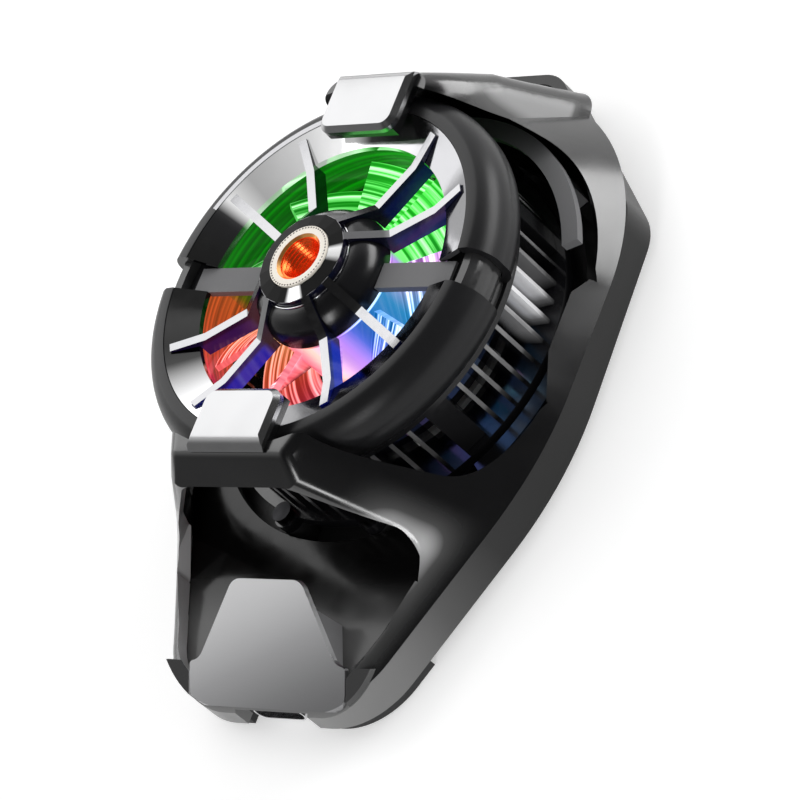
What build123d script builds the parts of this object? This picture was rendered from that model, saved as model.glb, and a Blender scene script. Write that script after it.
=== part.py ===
from build123d import *
import math
import os

os.makedirs("parts", exist_ok=True)

# A cooler that holds on to the back of a phone. It lies here as it lies on a table, cold plate down.
# Z is the fan's axis, Y the long way of the body, with the plug socket in the lower end at minus Y.
# Heights are counted from the face of the cold plate, all lengths are millimetres.

# Main heights
back_gap = 1.9
band_height = 5.5
rim_height = 28.0
tip_height = 31.1
seam_height = back_gap + band_height

# Fits that many pieces share
seat_gap = 0.05
slip_gap = 0.15
air_gap = 0.3
overrun = 4.0
press_gap = 0.01
screw_fit = 0.03
running_gap = 0.35

# Outline of the body, seen from the front
half_width = 32.9
lower_reach = 54.7
upper_reach = 44.0
lower_half_width = 16.5
flank_drop = 17.5
shoulder_inset = 1.5
shoulder_rise = 21.0
upper_half_width = 8.8
lower_corner = 12.0
flank_bend = 50.0
shoulder_bend = 8.0
upper_corner = 6.0
crown_centre = 8.7

# Band and back cover
band_wall = 1.6
cover_thickness = 1.4
deck_thickness = 1.25
boss_radius = 2.0
boss_places = [(24.0, -24.0), (-24.0, -24.0), (22.5, 24.0), (-22.5, 24.0)]

# Plug notch and socket
notch_half_width = 6.6
notch_height = 3.2
notch_depth = 2.6
socket_width = 8.94
socket_height = 3.1
socket_length = 7.3
socket_wall = 0.3
socket_recess = 0.9
socket_back = 0.5
socket_corner = 1.5
contact_width = 6.7
contact_thickness = 0.7
contact_length = 5.2

# Foot pads
pad_inset = 1.0
pad_width = 3.2
pad_inner_x = 7.4
pad_outer_x = 20.4
lower_pad_reach = 43.7
upper_pad_reach = 33.0

# Guard ring
rim_radius = 25.0
ring_radius = 29.0
ring_flat = 1.3
ring_widest_drop = 5.0
ring_depth = 9.0
ring_foot_radius = 26.2
cover_wall = 1.2
cover_gap_angle = 5.5
inner_ring_radius = 22.6

# Funnel
funnel_opening = 20.4
funnel_drop = 2.0
funnel_thickness = 0.8
funnel_rim = 24.9
funnel_edge_drop = 0.1

# Fan housing
housing_radius = 20.9
housing_wall = 1.3
flange_thickness = 1.0
collar_radius = 26.6
collar_thickness = 1.0
pillar_width = 3.6
pillar_depth = 3.6
pillar_angle = 36
pillar_angles = [pillar_angle, 180 - pillar_angle, 180 + pillar_angle, 360 - pillar_angle]

# Heat sink
sink_radius = 27.6
sink_thickness = 1.6
fin_count = 54
fin_thickness = 0.6
fin_inner_radius = 21.0
fin_outer_radius = 26.1
ear_radius = 1.85
ear_reach = 27.9
ear_angles = [74, 106, 254, 286]
sink_screw_radius = 0.75
sink_head_radius = 1.5
sink_head_height = 1.1
sink_screw_length = 3.6

# Cold plate and thermoelectric module
plate_radius = 21.9
plate_lip = 2.1
plate_lip_thickness = 0.65
plate_thickness = 4.4
module_side = 30.0
ceramic_thickness = 0.6
pellet_side = 1.5
pellet_height = 1.4
pellet_rows = 8
gasket_radius = 23.6

# Magnets and their pad
magnet_inner_radius = 23.4
magnet_outer_radius = 27.4
magnet_count = 12
magnet_gap = 0.7
magnet_thickness = 0.95
shunt_thickness = 0.35
pad_skin = 0.4
pad_ring_rim = 1.1

# Motor
shaft_radius = 1.0
shaft_fit = 0.03
bush_wall = 1.05
bush_length = 9.6
tube_wall = 1.0
tube_length = 10.75
tube_floor_drop = 0.2
seat_radius = 10.2
seat_thickness = 1.05
core_height = 5.0
core_lift = 4.2
core_hub_wall = 1.4
tooth_count = 6
tooth_width = 1.5
core_radius = 7.8
shoe_depth = 0.7
shoe_gap = 1.8
coil_build = 0.9
coil_rise = 0.6
magnet_air_gap = 0.5
rotor_magnet_wall = 0.62
yoke_wall = 0.45
clip_radius = 1.75
clip_thickness = 0.4
rotor_magnet_length = 6.4
yoke_rise = 0.3
board_thickness = 0.8
board_rim = 0.6

# Rotor
hub_radius = 10.0
hub_top = 23.6
hub_bottom = 13.0
hub_plate = 1.2
hub_boss_radius = 2.0
hub_boss_length = 1.2
shaft_top = 23.1
blade_count = 9
blade_tip_radius = 20.2
blade_height = 8.0
blade_bottom = 14.8
blade_thickness = 1.0
blade_tip_thickness = 0.8
blade_bow = 0.5
blade_root_depth = 0.6
blade_root_pitch = 51
blade_tip_pitch = 31

# Lighting
light_outer_radius = 19.8
light_inner_radius = 10.9
chip_count = 12
chip_side = 3.0
chip_height = 1.2
chip_radius = 15.5
diffuser_radius = 20.3
diffuser_thickness = 1.1

# Guard, hub dome and nozzle
dome_radius = 10.3
dome_bottom = 24.4
dome_floor = 0.6
dome_edge = 0.5
dome_shoulder = (9.6, 27.4)
dome_neck = 7.0
dome_height = 4.8
nozzle_bore = 3.19
nozzle_wall = 0.75
nozzle_top = 30.6
bezel_radius = 4.7
bezel_lip = 0.4
bezel_top = 31.04
claw_radius = 6.9
claw_height = 1.1
spoke_angles = [30, 60, 120, 150, 210, 240, 300, 330]
spoke_width = 1.3
spoke_kink_radius = 11.8
spoke_kink_height = 26.7
spoke_shoulder_radius = 19.0
spoke_shoulder_height = 26.55
spoke_end_radius = 24.0
spoke_end_height = 27.85
spoke_depth = 2.9
bar_width = 3.8
bar_reach = 23.2
bar_top = 25.7
bar_thickness = 1.1

# Front frame: a body that tapers up from the outline, with a ridge on its upper end
flank_taper = 35.75
frame_wall = 2.2
frame_edge = 2.5
ridge_edge = 4.0
lip_drop = 3.0
tip_thickness = 1.45
lower_face = 32.4
lower_tip_edge = 28.0
lower_face_top = 25.9
leg_height = 9.4
leg_reach = 43.5
leg_knee = 11.6
leg_bend = 4.0
leg_width = 2.3
leg_overlap = 2.0
upper_tip_edge = 28.8
upper_face_reach = 35.2
upper_face_height = 20.5
ridge_foot = [(36.9, 16.0), (40.5, 7.4)]
ridge_sections = [(17.5, 7.4), (15.6, 14.0), (14.4, 18.0), (13.2, 22.0), (12.0, 25.5), (9.0, 29.65)]
pocket_start = 37.0
notch_start = 46.0
rail_wall = 1.6
rail_rise = 0.9
rail_inner_radius = 28.8
rail_start_angle = -40
rail_end_angle = 16
hole_radius = 30.0
hole_profile = [(33.0, 9.6), (34.6, 11.8), (33.4, 16.3), (31.2, 22.0), (29.4, 27.2), (28.2, 29.9)]
lug_plan = [(30.2, -3.0), (31.4, -9.6), (40.0, -9.6), (40.0, 8.8), (31.2, 8.8), (30.2, 6.0)]

# Window in the frame's lower end
window_top = 26.0
window_top_half_width = 9.6
window_side_half_width = 20.4
window_side_height = 14.8
window_half_width = 22.1
window_side = 11.5
window_top_bend = 4.0
window_side_bend = 6.0

# Tips
tip_half_width = 6.85
tip_inner = 20.0
tip_corner = 2.2
tip_edge = 0.7
finger_inset = 0.6
finger_root = 0.5

# Accent plate, which slopes up from the lower end
plate_slope = 30.4
accent_thickness = 0.8
accent_bottom = 6.36
accent_reach = 54.0
accent_half_width = 14.2
accent_shelf = 5.9
tongue_foot_half_width = 12.6
tongue_top_half_width = 6.2
tongue_length = 17.0
tongue_top_corner = 2.3
tongue_foot_corner = 2.4
accent_corner = 2.5
shelf_corner = 0.6
wedge_inset = 0.5
wedge_back = 42.4

# Liner hoop below the upper arm
liner_inner_radius = 30.5
liner_outer_radius = 33.0
liner_top = 14.0
liner_thickness = 1.2
liner_span = 136
liner_post_angle = 42
liner_post_width = 4.0
liner_post_step = 0.6

# Boards and screws
main_board_half_width = 11.5
main_board_start = 31.5
main_board_end = 51.5
screw_radius = 0.8
screw_head_radius = 1.7
screw_length = 3.6


def finish(part, name):
    """Names a finished piece and writes it to its own file."""
    part.label = name
    export_step(part, f"parts/{name}.step")


def radial_plane(angle):
    """Upright plane through the fan's axis: across is outward at the angle, up is up."""
    turn = math.radians(angle)
    return Plane(origin=(0, 0, 0), x_dir=(math.cos(turn), math.sin(turn), 0),
                 z_dir=(math.sin(turn), -math.cos(turn), 0))


def around(radius, angle):
    """Point at a radius and an angle about the fan's axis."""
    return (radius * math.cos(math.radians(angle)), radius * math.sin(math.radians(angle)))


def base_plan(inset=0):
    """Outline of the band, with flanks that widen from the lower end and a narrower upper end."""
    with BuildSketch() as shape:
        with BuildLine():
            FilletPolyline(
                (0, -lower_reach),
                (lower_half_width, -lower_reach),
                (half_width, -flank_drop),
                (half_width - shoulder_inset, shoulder_rise),
                (upper_half_width, upper_reach),
                (0, upper_reach),
                radius=[lower_corner, flank_bend, shoulder_bend, upper_corner],
            )
            mirror(about=Plane.YZ)
        make_face()
        if inset:
            offset(amount=-inset)
    return shape.sketch


def frame_plan(inset=0, corner=lower_corner):
    """Outline of the front frame: the band's lower part under a round crown."""
    crown = crown_centre + half_width
    quarter = half_width * math.sqrt(0.5)
    with BuildSketch() as shape:
        with BuildLine():
            FilletPolyline(
                (0, -lower_reach),
                (lower_half_width, -lower_reach),
                (half_width, -flank_drop),
                (half_width, crown_centre),
                radius=[corner, flank_bend],
            )
            ThreePointArc((half_width, crown_centre), (quarter, crown_centre + quarter), (0, crown))
            mirror(about=Plane.YZ)
        make_face()
        if inset:
            offset(amount=-inset)
    return shape.sketch


def ridge_section(inset=0):
    """The ridge seen from the end: a flat top and sides that fall ever more steeply."""
    side = [(reach - inset, rise) for reach, rise in ridge_sections]
    with BuildSketch() as shape:
        with BuildLine():
            Line((0, 0), (side[0][0], 0))
            Line((side[0][0], 0), side[0])
            Spline(*side)
            Line(side[-1], (0, side[-1][1]))
            mirror(about=Plane.YZ)
        make_face()
    return shape.sketch


def ridge_profile(inset=0):
    """The ridge seen from the side: a flat top and an end wall that leans in."""
    arm_height = tip_height - tip_thickness
    upper_slope = (tip_height - upper_face_height) / (upper_face_reach - upper_tip_edge)
    upper_arm = upper_face_reach - (arm_height - upper_face_height) / upper_slope
    with BuildSketch() as shape:
        with BuildLine():
            Polyline((0, 0), (0, arm_height), (upper_arm, arm_height),
                     (upper_face_reach, upper_face_height), *ridge_foot,
                     (ridge_foot[-1][0], 0), close=True)
        make_face()
        if inset:
            offset(amount=-inset)
    return shape.sketch


def side_profile(inset=0):
    """The frame seen from the side: low legs and a steep lower wall with a leaning top."""
    arm_height = tip_height - tip_thickness
    lower_slope = (tip_height - lower_face_top) / (lower_face - lower_tip_edge)
    lower_arm = lower_face - (arm_height - lower_face_top) / lower_slope
    with BuildSketch() as shape:
        with BuildLine():
            FilletPolyline(
                (-lower_reach - overrun, -overrun),
                (-lower_reach - overrun, leg_height),
                (-leg_reach, leg_height),
                (-lower_face, leg_knee),
                (-lower_face, lower_face_top),
                (-lower_arm, arm_height),
                (lower_reach, arm_height),
                (lower_reach, -overrun),
                radius=[0, leg_bend, leg_bend, 0, 0, 0],
            )
            Line((lower_reach, -overrun), (-lower_reach - overrun, -overrun))
        make_face()
        if inset:
            offset(amount=-inset)
    return shape.sketch


def ridge(inset=0):
    """Solid of the ridge on the upper end, from the fan's axis outward."""
    with BuildPart() as solid:
        with BuildSketch(Plane.XZ):
            add(ridge_section(inset))
        extrude(amount=-lower_reach)
        with BuildSketch(Plane.YZ):
            add(ridge_profile(inset))
        extrude(amount=half_width, both=True, mode=Mode.INTERSECT)
    return solid.part


def mound(inset=0):
    """Solid of the frame before it is cut: low legs and a body that both taper up, and the ridge."""
    with BuildPart() as solid:
        for corner, rise in ((0, tip_height), (lower_corner, leg_knee + leg_overlap)):
            with BuildSketch(Plane.XY.offset(seam_height)):
                add(frame_plan(inset, corner))
            extrude(amount=-lip_drop)
            with BuildSketch(Plane.XY.offset(seam_height)):
                add(frame_plan(inset, corner))
            extrude(amount=rise - seam_height, taper=flank_taper)
            if corner == 0:
                with Locations((0, -leg_reach + leg_overlap, 0)):
                    Box(4 * half_width, 2 * lower_reach, 4 * tip_height,
                        align=(Align.CENTER, Align.MAX, Align.CENTER), mode=Mode.SUBTRACT)
        add(ridge(inset))
        with BuildSketch(Plane.YZ):
            add(side_profile(inset))
        extrude(amount=half_width + overrun, both=True, mode=Mode.INTERSECT)
        if inset == 0:
            top = solid.faces().filter_by(Plane.XY).sort_by(Axis.Z)[-1]
            wall = solid.faces().filter_by(Plane.XZ).sort_by(Axis.Y)
            wall = wall.filter_by_position(Axis.Z, leg_knee, tip_height)[0]
            lean = solid.faces().filter_by_position(Axis.Z, lower_face_top, tip_height)
            lean = lean.sort_by(Axis.Y)[0]
            rim = top.edges().filter_by_position(Axis.Y, -lower_reach, -crown_centre)
            sides = wall.edges().filter_by(Axis.X, reverse=True)
            sides = sides.filter_by_position(Axis.Z, leg_knee + leg_overlap, tip_height)
            slants = lean.edges().filter_by(Axis.X, reverse=True)
            fillet(rim + sides + slants, radius=frame_edge)
            crests = []
            for flank in solid.faces().filter_by(GeomType.EXTRUSION):
                crests += flank.edges().filter_by_position(Axis.Z, leg_height, tip_height - ridge_edge)
            fillet(ShapeList(crests).sort_by(SortBy.LENGTH)[:-2], radius=ridge_edge)
    return solid.part


def accent_plane(lift=0):
    """Plane of the accent plate's lower face, with up pointing along its slope."""
    tilt = math.radians(plate_slope)
    foot = (0, -accent_reach, accent_bottom - accent_thickness / math.cos(tilt))
    plane = Plane(origin=foot, x_dir=(1, 0, 0), z_dir=(0, -math.sin(tilt), math.cos(tilt)))
    return plane.offset(lift)


def tongue_plan(inset=0):
    """Outline of the tongue alone, in the plane of the accent plate."""
    with BuildSketch() as shape:
        with BuildLine():
            FilletPolyline(
                (0, 0),
                (tongue_foot_half_width, 0),
                (tongue_foot_half_width, accent_shelf),
                (tongue_top_half_width, tongue_length),
                (0, tongue_length),
                radius=[0, tongue_foot_corner, tongue_top_corner],
            )
            mirror(about=Plane.YZ)
        make_face()
        if inset:
            offset(amount=-inset)
    return shape.sketch


def side_lugs():
    """Thick middle of each rail, which narrows the drum's hole at the sides."""
    with BuildPart() as lugs:
        add(mound())
        with BuildSketch():
            Polygon(*lug_plan, align=None)
            mirror(about=Plane.YZ)
        extrude(amount=tip_height, mode=Mode.INTERSECT)
        with BuildSketch(Plane.XY.offset(seam_height + seat_gap)):
            Rectangle(4 * half_width, 4 * half_width)
        extrude(amount=tip_height, mode=Mode.INTERSECT)
    return lugs.part


def corner_lips():
    """Thin ends of the frame, which go round the lower corners beside the accent plate."""
    with BuildPart() as lips:
        with BuildSketch(accent_plane()):
            Rectangle(2 * half_width, 2 * accent_shelf)
        extrude(amount=accent_thickness)
        with BuildSketch():
            add(frame_plan())
            add(frame_plan(leg_width), mode=Mode.SUBTRACT)
            with Locations((0, -lower_reach)):
                Rectangle(2 * (accent_half_width + slip_gap), lower_reach, mode=Mode.SUBTRACT)
        extrude(amount=tip_height, mode=Mode.INTERSECT)
    return lips.part


def ring_section(inset=0):
    """Round section of the guard ring: a flat rim, a full outer side and a small foot."""
    widest = rim_height - ring_widest_drop
    foot = rim_height - ring_depth
    crown = rim_radius + ring_flat
    upper_bulge = crown + (ring_radius - crown) * math.sqrt(0.5)
    upper_rise = widest + ring_widest_drop * math.sqrt(0.5)
    lower_bulge = ring_foot_radius + (ring_radius - ring_foot_radius) * math.sqrt(0.5)
    lower_fall = widest - (widest - foot) * math.sqrt(0.5)
    with BuildSketch() as shape:
        with BuildLine():
            Line((rim_radius, foot), (rim_radius, rim_height))
            Line((rim_radius, rim_height), (crown, rim_height))
            ThreePointArc((crown, rim_height), (upper_bulge, upper_rise), (ring_radius, widest))
            ThreePointArc((ring_radius, widest), (lower_bulge, lower_fall), (ring_foot_radius, foot))
            Line((ring_foot_radius, foot), (rim_radius, foot))
        make_face()
        if inset:
            offset(amount=-inset)
    return shape.sketch


stand = (Align.CENTER, Align.CENTER, Align.MIN)
hang = (Align.CENTER, Align.CENTER, Align.MAX)

# Heights that several pieces stand on
cold_face = plate_thickness + seat_gap
pellet_floor = cold_face + ceramic_thickness
hot_floor = pellet_floor + pellet_height
sink_floor = hot_floor + ceramic_thickness + seat_gap
sink_top = sink_floor + sink_thickness
collar_top = rim_height - ring_depth - seat_gap
collar_bottom = collar_top - collar_thickness
flange_top = rim_height - funnel_drop - funnel_thickness - seat_gap
deck_bottom = seam_height - deck_thickness - seat_gap
seat_bottom = sink_top + seat_gap
seat_top = seat_bottom + seat_thickness
tube_bore = shaft_radius + shaft_fit + bush_wall + shaft_fit
tube_radius = tube_bore + tube_wall
tube_floor = seat_top - tube_floor_drop
shaft_bottom = tube_floor + running_gap
clip_bottom = shaft_bottom + seat_gap
bush_bottom = clip_bottom + clip_thickness + running_gap

# Base band: a plain wall that follows the outline, with the plug notch in its lower end
with BuildPart() as base_band:
    with BuildSketch(Plane.XY.offset(back_gap)):
        add(base_plan())
        add(base_plan(band_wall), mode=Mode.SUBTRACT)
    extrude(amount=band_height)
    with BuildSketch(Plane.XY.offset(back_gap)):
        with Locations((0, -lower_reach)):
            Rectangle(2 * notch_half_width, 2 * notch_depth)
    extrude(amount=notch_height, mode=Mode.SUBTRACT)
    with BuildSketch(accent_plane(-slip_gap)):
        Rectangle(2 * half_width, 2 * accent_shelf)
    extrude(amount=lower_reach, mode=Mode.SUBTRACT)
finish(base_band.part, "base_band")

# Back cover: a plate inside the band, open for the cold plate and the socket, with bosses for the heat sink
with BuildPart() as back_cover:
    with BuildSketch(Plane.XY.offset(back_gap)):
        add(base_plan(band_wall + slip_gap))
        Circle(plate_radius + air_gap, mode=Mode.SUBTRACT)
        with Locations((0, -lower_reach)):
            Rectangle(socket_width + 2 * slip_gap, 2 * (socket_recess + socket_length + slip_gap),
                      mode=Mode.SUBTRACT)
            Rectangle(2 * notch_half_width, 2 * notch_depth, mode=Mode.SUBTRACT)
    extrude(amount=cover_thickness)
    with BuildSketch(Plane.XY.offset(back_gap)):
        with Locations([around(ear_reach, angle) for angle in ear_angles]):
            Circle(ear_radius)
    extrude(amount=sink_floor - seat_gap - back_gap)
    with Locations([(*around(ear_reach, angle), sink_top - sink_screw_length) for angle in ear_angles]):
        Cylinder(sink_screw_radius, sink_screw_length, align=stand,
                 mode=Mode.SUBTRACT)
    with Locations([(*place, back_gap) for place in boss_places]):
        Cylinder(screw_radius, cover_thickness, align=stand,
                 mode=Mode.SUBTRACT)
        Cone(screw_head_radius, screw_radius, screw_head_radius - screw_radius,
             align=stand, mode=Mode.SUBTRACT)
finish(back_cover.part, "back_cover")

# Case screws: flat heads in the back cover, shanks up into the deck's bosses
with BuildPart() as case_screws:
    with Locations([(*place, back_gap) for place in boss_places]):
        Cone(screw_head_radius, screw_radius, screw_head_radius - screw_radius,
             align=stand)
        Cylinder(screw_radius, screw_length, align=stand)
finish(case_screws.part, "case_screws")

# Foot pads: soft strips under the corners, level with the cold plate
for pad_name, end, side_reach in (("lower_pads", -1, lower_pad_reach), ("upper_pads", 1, upper_pad_reach)):
    with BuildPart() as foot_pads:
        with BuildSketch():
            add(base_plan(pad_inset))
            add(base_plan(pad_inset + pad_width), mode=Mode.SUBTRACT)
            with Locations((pad_inner_x, end * side_reach), (-pad_outer_x, end * side_reach)):
                Rectangle(pad_outer_x - pad_inner_x, upper_reach,
                          align=(Align.MIN, Align.MIN if end > 0 else Align.MAX), mode=Mode.INTERSECT)
        extrude(amount=back_gap)
    finish(foot_pads.part, pad_name)

# Cold plate: the face that lies against the phone, with a lip above the back cover's opening
with BuildPart() as cold_plate:
    Cylinder(plate_radius, plate_thickness, align=stand)
    with Locations((0, 0, plate_thickness - plate_lip_thickness)):
        Cylinder(plate_radius + plate_lip, plate_lip_thickness, align=stand)
finish(cold_plate.part, "cold_plate")

# Magnet pad: a soft ring round the cold plate, with a groove above for the magnets
with BuildPart() as magnet_pad:
    with BuildSketch():
        Circle(magnet_outer_radius + pad_ring_rim)
        Circle(magnet_inner_radius - pad_ring_rim, mode=Mode.SUBTRACT)
    extrude(amount=back_gap - seat_gap)
    with BuildSketch(Plane.XY.offset(pad_skin)):
        Circle(magnet_outer_radius)
        Circle(magnet_inner_radius, mode=Mode.SUBTRACT)
    extrude(amount=back_gap, mode=Mode.SUBTRACT)
finish(magnet_pad.part, "magnet_pad")

# Magnets: short arcs that make up a ring
with BuildPart() as magnet_ring:
    with BuildSketch(Plane.XY.offset(pad_skin + seat_gap)):
        Circle(magnet_outer_radius - seat_gap)
        Circle(magnet_inner_radius + seat_gap, mode=Mode.SUBTRACT)
        with PolarLocations(magnet_inner_radius, magnet_count):
            Rectangle(magnet_outer_radius, magnet_gap, mode=Mode.SUBTRACT)
    extrude(amount=magnet_thickness)
finish(magnet_ring.part, "magnet_ring")

# Steel ring that closes the magnets' field on the cover's side
with BuildPart() as magnet_shunt:
    with BuildSketch(Plane.XY.offset(back_gap - seat_gap - shunt_thickness)):
        Circle(magnet_outer_radius - seat_gap)
        Circle(magnet_inner_radius + seat_gap, mode=Mode.SUBTRACT)
    extrude(amount=shunt_thickness)
finish(magnet_shunt.part, "magnet_shunt")

# Thermoelectric module: two ceramic plates with rows of pellets between them
for ceramic_name, ceramic_floor in (("cold_ceramic", cold_face), ("hot_ceramic", hot_floor)):
    with BuildPart() as ceramic:
        with Locations((0, 0, ceramic_floor)):
            Box(module_side, module_side, ceramic_thickness, align=stand)
    finish(ceramic.part, ceramic_name)

pellet_pitch = (module_side - pellet_side) / pellet_rows
with BuildPart() as pellets:
    with BuildSketch(Plane.XY.offset(pellet_floor)):
        with GridLocations(pellet_pitch, pellet_pitch, pellet_rows, pellet_rows):
            Rectangle(pellet_side, pellet_side)
    extrude(amount=pellet_height)
finish(pellets.part, "pellets")

# Foam gasket round the module
with BuildPart() as module_gasket:
    with BuildSketch(Plane.XY.offset(cold_face)):
        Circle(gasket_radius)
        Rectangle(module_side + 2 * air_gap, module_side + 2 * air_gap, mode=Mode.SUBTRACT)
    extrude(amount=sink_floor - seat_gap - cold_face)
finish(module_gasket.part, "module_gasket")

# Heat sink: a disc with four ears and a ring of upright fins, left open at the fan's pillars
pillar_inner = fin_outer_radius + air_gap - pillar_depth
fin_clearance = math.degrees((pillar_width / 2 + fin_thickness / 2 + air_gap) / pillar_inner)
fin_angles = []
for number in range(fin_count):
    angle = 360 / fin_count * number
    if min(abs(angle - pillar) for pillar in pillar_angles) > fin_clearance:
        fin_angles.append(angle)
with BuildPart() as heat_sink:
    with BuildSketch(Plane.XY.offset(sink_floor)):
        Circle(sink_radius)
        with Locations([around(ear_reach, angle) for angle in ear_angles]):
            Circle(ear_radius)
            Circle(sink_screw_radius + screw_fit, mode=Mode.SUBTRACT)
    extrude(amount=sink_thickness)
    with BuildSketch(Plane.XY.offset(sink_top)):
        for angle in fin_angles:
            with Locations(Location((*around(fin_inner_radius, angle), 0), (0, 0, angle))):
                Rectangle(fin_outer_radius - fin_inner_radius, fin_thickness,
                          align=(Align.MIN, Align.CENTER))
    extrude(amount=collar_bottom - seat_gap - sink_top)
finish(heat_sink.part, "heat_sink")

# Heat sink screws through the ears
with BuildPart() as sink_screws:
    with Locations([(*around(ear_reach, angle), sink_top) for angle in ear_angles]):
        Cylinder(sink_head_radius, sink_head_height, align=stand)
        Cylinder(sink_screw_radius, sink_screw_length, align=hang)
finish(sink_screws.part, "sink_screws")

# Deck: the floor behind the frame, open round the drum, with bosses for the case screws
with BuildPart() as deck:
    with BuildSketch(Plane.XY.offset(deck_bottom)):
        add(base_plan(band_wall + slip_gap))
        Circle(hole_radius, mode=Mode.SUBTRACT)
    extrude(amount=deck_thickness)
    with Locations([(*place, deck_bottom) for place in boss_places]):
        Cylinder(boss_radius, deck_bottom - back_gap - cover_thickness - seat_gap, align=hang)
    with Locations([(*place, back_gap) for place in boss_places]):
        Cylinder(screw_radius + screw_fit, screw_length + seat_gap, align=stand, mode=Mode.SUBTRACT)
    with BuildSketch(accent_plane(-slip_gap)):
        Rectangle(2 * half_width, 2 * accent_shelf)
    extrude(amount=lower_reach, mode=Mode.SUBTRACT)
finish(deck.part, "deck")

# Front frame: a hollow saddle, cut by the drum's hole and by the window in its lower end
frame_bottom = seam_height + seat_gap
with BuildPart() as front_frame:
    add(mound())
    add(mound(frame_wall), mode=Mode.SUBTRACT)
    with BuildSketch():
        Rectangle(4 * lower_reach, 4 * lower_reach)
    extrude(amount=frame_bottom, mode=Mode.SUBTRACT)
    with BuildSketch(Plane.XZ):
        with BuildLine():
            Line((0, 0), (hole_profile[0][0], 0))
            Line((hole_profile[0][0], 0), hole_profile[0])
            Spline(*hole_profile)
            Line(hole_profile[-1], (hole_profile[-1][0], tip_height + overrun))
            Line((hole_profile[-1][0], tip_height + overrun), (0, tip_height + overrun))
            Line((0, tip_height + overrun), (0, 0))
        make_face()
    revolve(axis=Axis.Z, mode=Mode.SUBTRACT)
    with BuildSketch(Plane.XZ):
        with BuildLine():
            FilletPolyline(
                (0, window_top),
                (window_top_half_width, window_top),
                (window_side_half_width, window_side_height),
                (window_half_width, window_side),
                (window_half_width, 0),
                radius=[window_top_bend, window_side_bend, 0],
            )
            Line((window_half_width, 0), (0, 0))
            mirror(about=Plane.YZ)
        make_face()
    extrude(amount=pocket_start, mode=Mode.SUBTRACT)
    with BuildSketch():
        add(frame_plan(leg_width))
        with Locations((0, -pocket_start)):
            Rectangle(2 * lower_reach, lower_reach, align=(Align.CENTER, Align.MAX),
                      mode=Mode.INTERSECT)
        with Locations((0, -notch_start)):
            Rectangle(2 * (accent_half_width + slip_gap), lower_reach, align=(Align.CENTER, Align.MAX))
    extrude(amount=tip_height, mode=Mode.SUBTRACT)
    with BuildSketch(accent_plane(accent_thickness)):
        Rectangle(2 * half_width, 2 * accent_shelf)
    extrude(amount=lower_reach, mode=Mode.SUBTRACT)
    for side in (0, 180):
        start = side + (rail_start_angle if side == 0 else -rail_end_angle)
        with BuildSketch(radial_plane(start)):
            with Locations((rail_inner_radius, frame_bottom)):
                Rectangle(half_width - rail_wall - rail_inner_radius, rail_rise,
                          align=(Align.MIN, Align.MIN))
        revolve(axis=Axis.Z, revolution_arc=rail_end_angle - rail_start_angle)
    add(side_lugs())
    add(corner_lips())
    for end in (-1, 1):
        with Locations((0, end * (hole_profile[-1][0] + finger_root), tip_height - tip_thickness)):
            Box(2 * (tip_half_width - finger_inset),
                hole_profile[-1][0] + finger_root - tip_inner - finger_inset,
                tip_height - tip_thickness - rim_height - slip_gap,
                align=(Align.CENTER, Align.MAX if end > 0 else Align.MIN, Align.MAX))
finish(front_frame.part, "front_frame")

# Tip caps: bright blocks on the arms, which reach in over the guard ring
for tip_name, end, edge, drop in (
    ("lower_tip_cap", -1, lower_tip_edge, (lower_face - lower_tip_edge) / (tip_height - lower_face_top)),
    ("upper_tip_cap", 1, upper_tip_edge,
     (upper_face_reach - upper_tip_edge) / (tip_height - upper_face_height)),
):
    tip_floor = tip_height - tip_thickness + seat_gap
    tip_foot = edge + (tip_height - tip_floor) * drop
    with BuildPart() as tip_cap:
        with BuildSketch(Plane.YZ):
            with BuildLine():
                Polyline((end * tip_inner, tip_floor), (end * tip_inner, tip_height),
                         (end * edge, tip_height), (end * tip_foot, tip_floor), close=True)
            make_face()
        extrude(amount=tip_half_width, both=True)
        upright = tip_cap.edges().filter_by(Axis.Z)
        fillet(upright, radius=tip_corner)
        chamfer(tip_cap.faces().sort_by(Axis.Z)[-1].edges(), length=tip_edge)
    finish(tip_cap.part, tip_name)

# Accent plate: a brushed plate that slopes up from the lower end and ends in a tongue
with BuildPart() as accent_plate:
    with BuildSketch(accent_plane()):
        with BuildLine():
            FilletPolyline(
                (0, 0),
                (accent_half_width, 0),
                (accent_half_width, accent_shelf),
                (tongue_foot_half_width, accent_shelf),
                (tongue_top_half_width, tongue_length),
                (0, tongue_length),
                radius=[accent_corner, shelf_corner, tongue_foot_corner, tongue_top_corner],
            )
            mirror(about=Plane.YZ)
        make_face()
    extrude(amount=accent_thickness)
    with BuildSketch():
        add(frame_plan(slip_gap))
    extrude(amount=tip_height, mode=Mode.INTERSECT)
finish(accent_plate.part, "accent_plate")

# Wedge below the tongue, which stands on the deck
with BuildPart() as tongue_base:
    with BuildSketch(accent_plane(-seat_gap)):
        add(tongue_plan(wedge_inset))
    extrude(amount=-lower_reach)
    with Locations((0, -wedge_back, seam_height)):
        Box(2 * half_width, lower_reach, tip_height, align=(Align.CENTER, Align.MAX, Align.MIN),
            mode=Mode.INTERSECT)
finish(tongue_base.part, "tongue_base")

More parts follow.
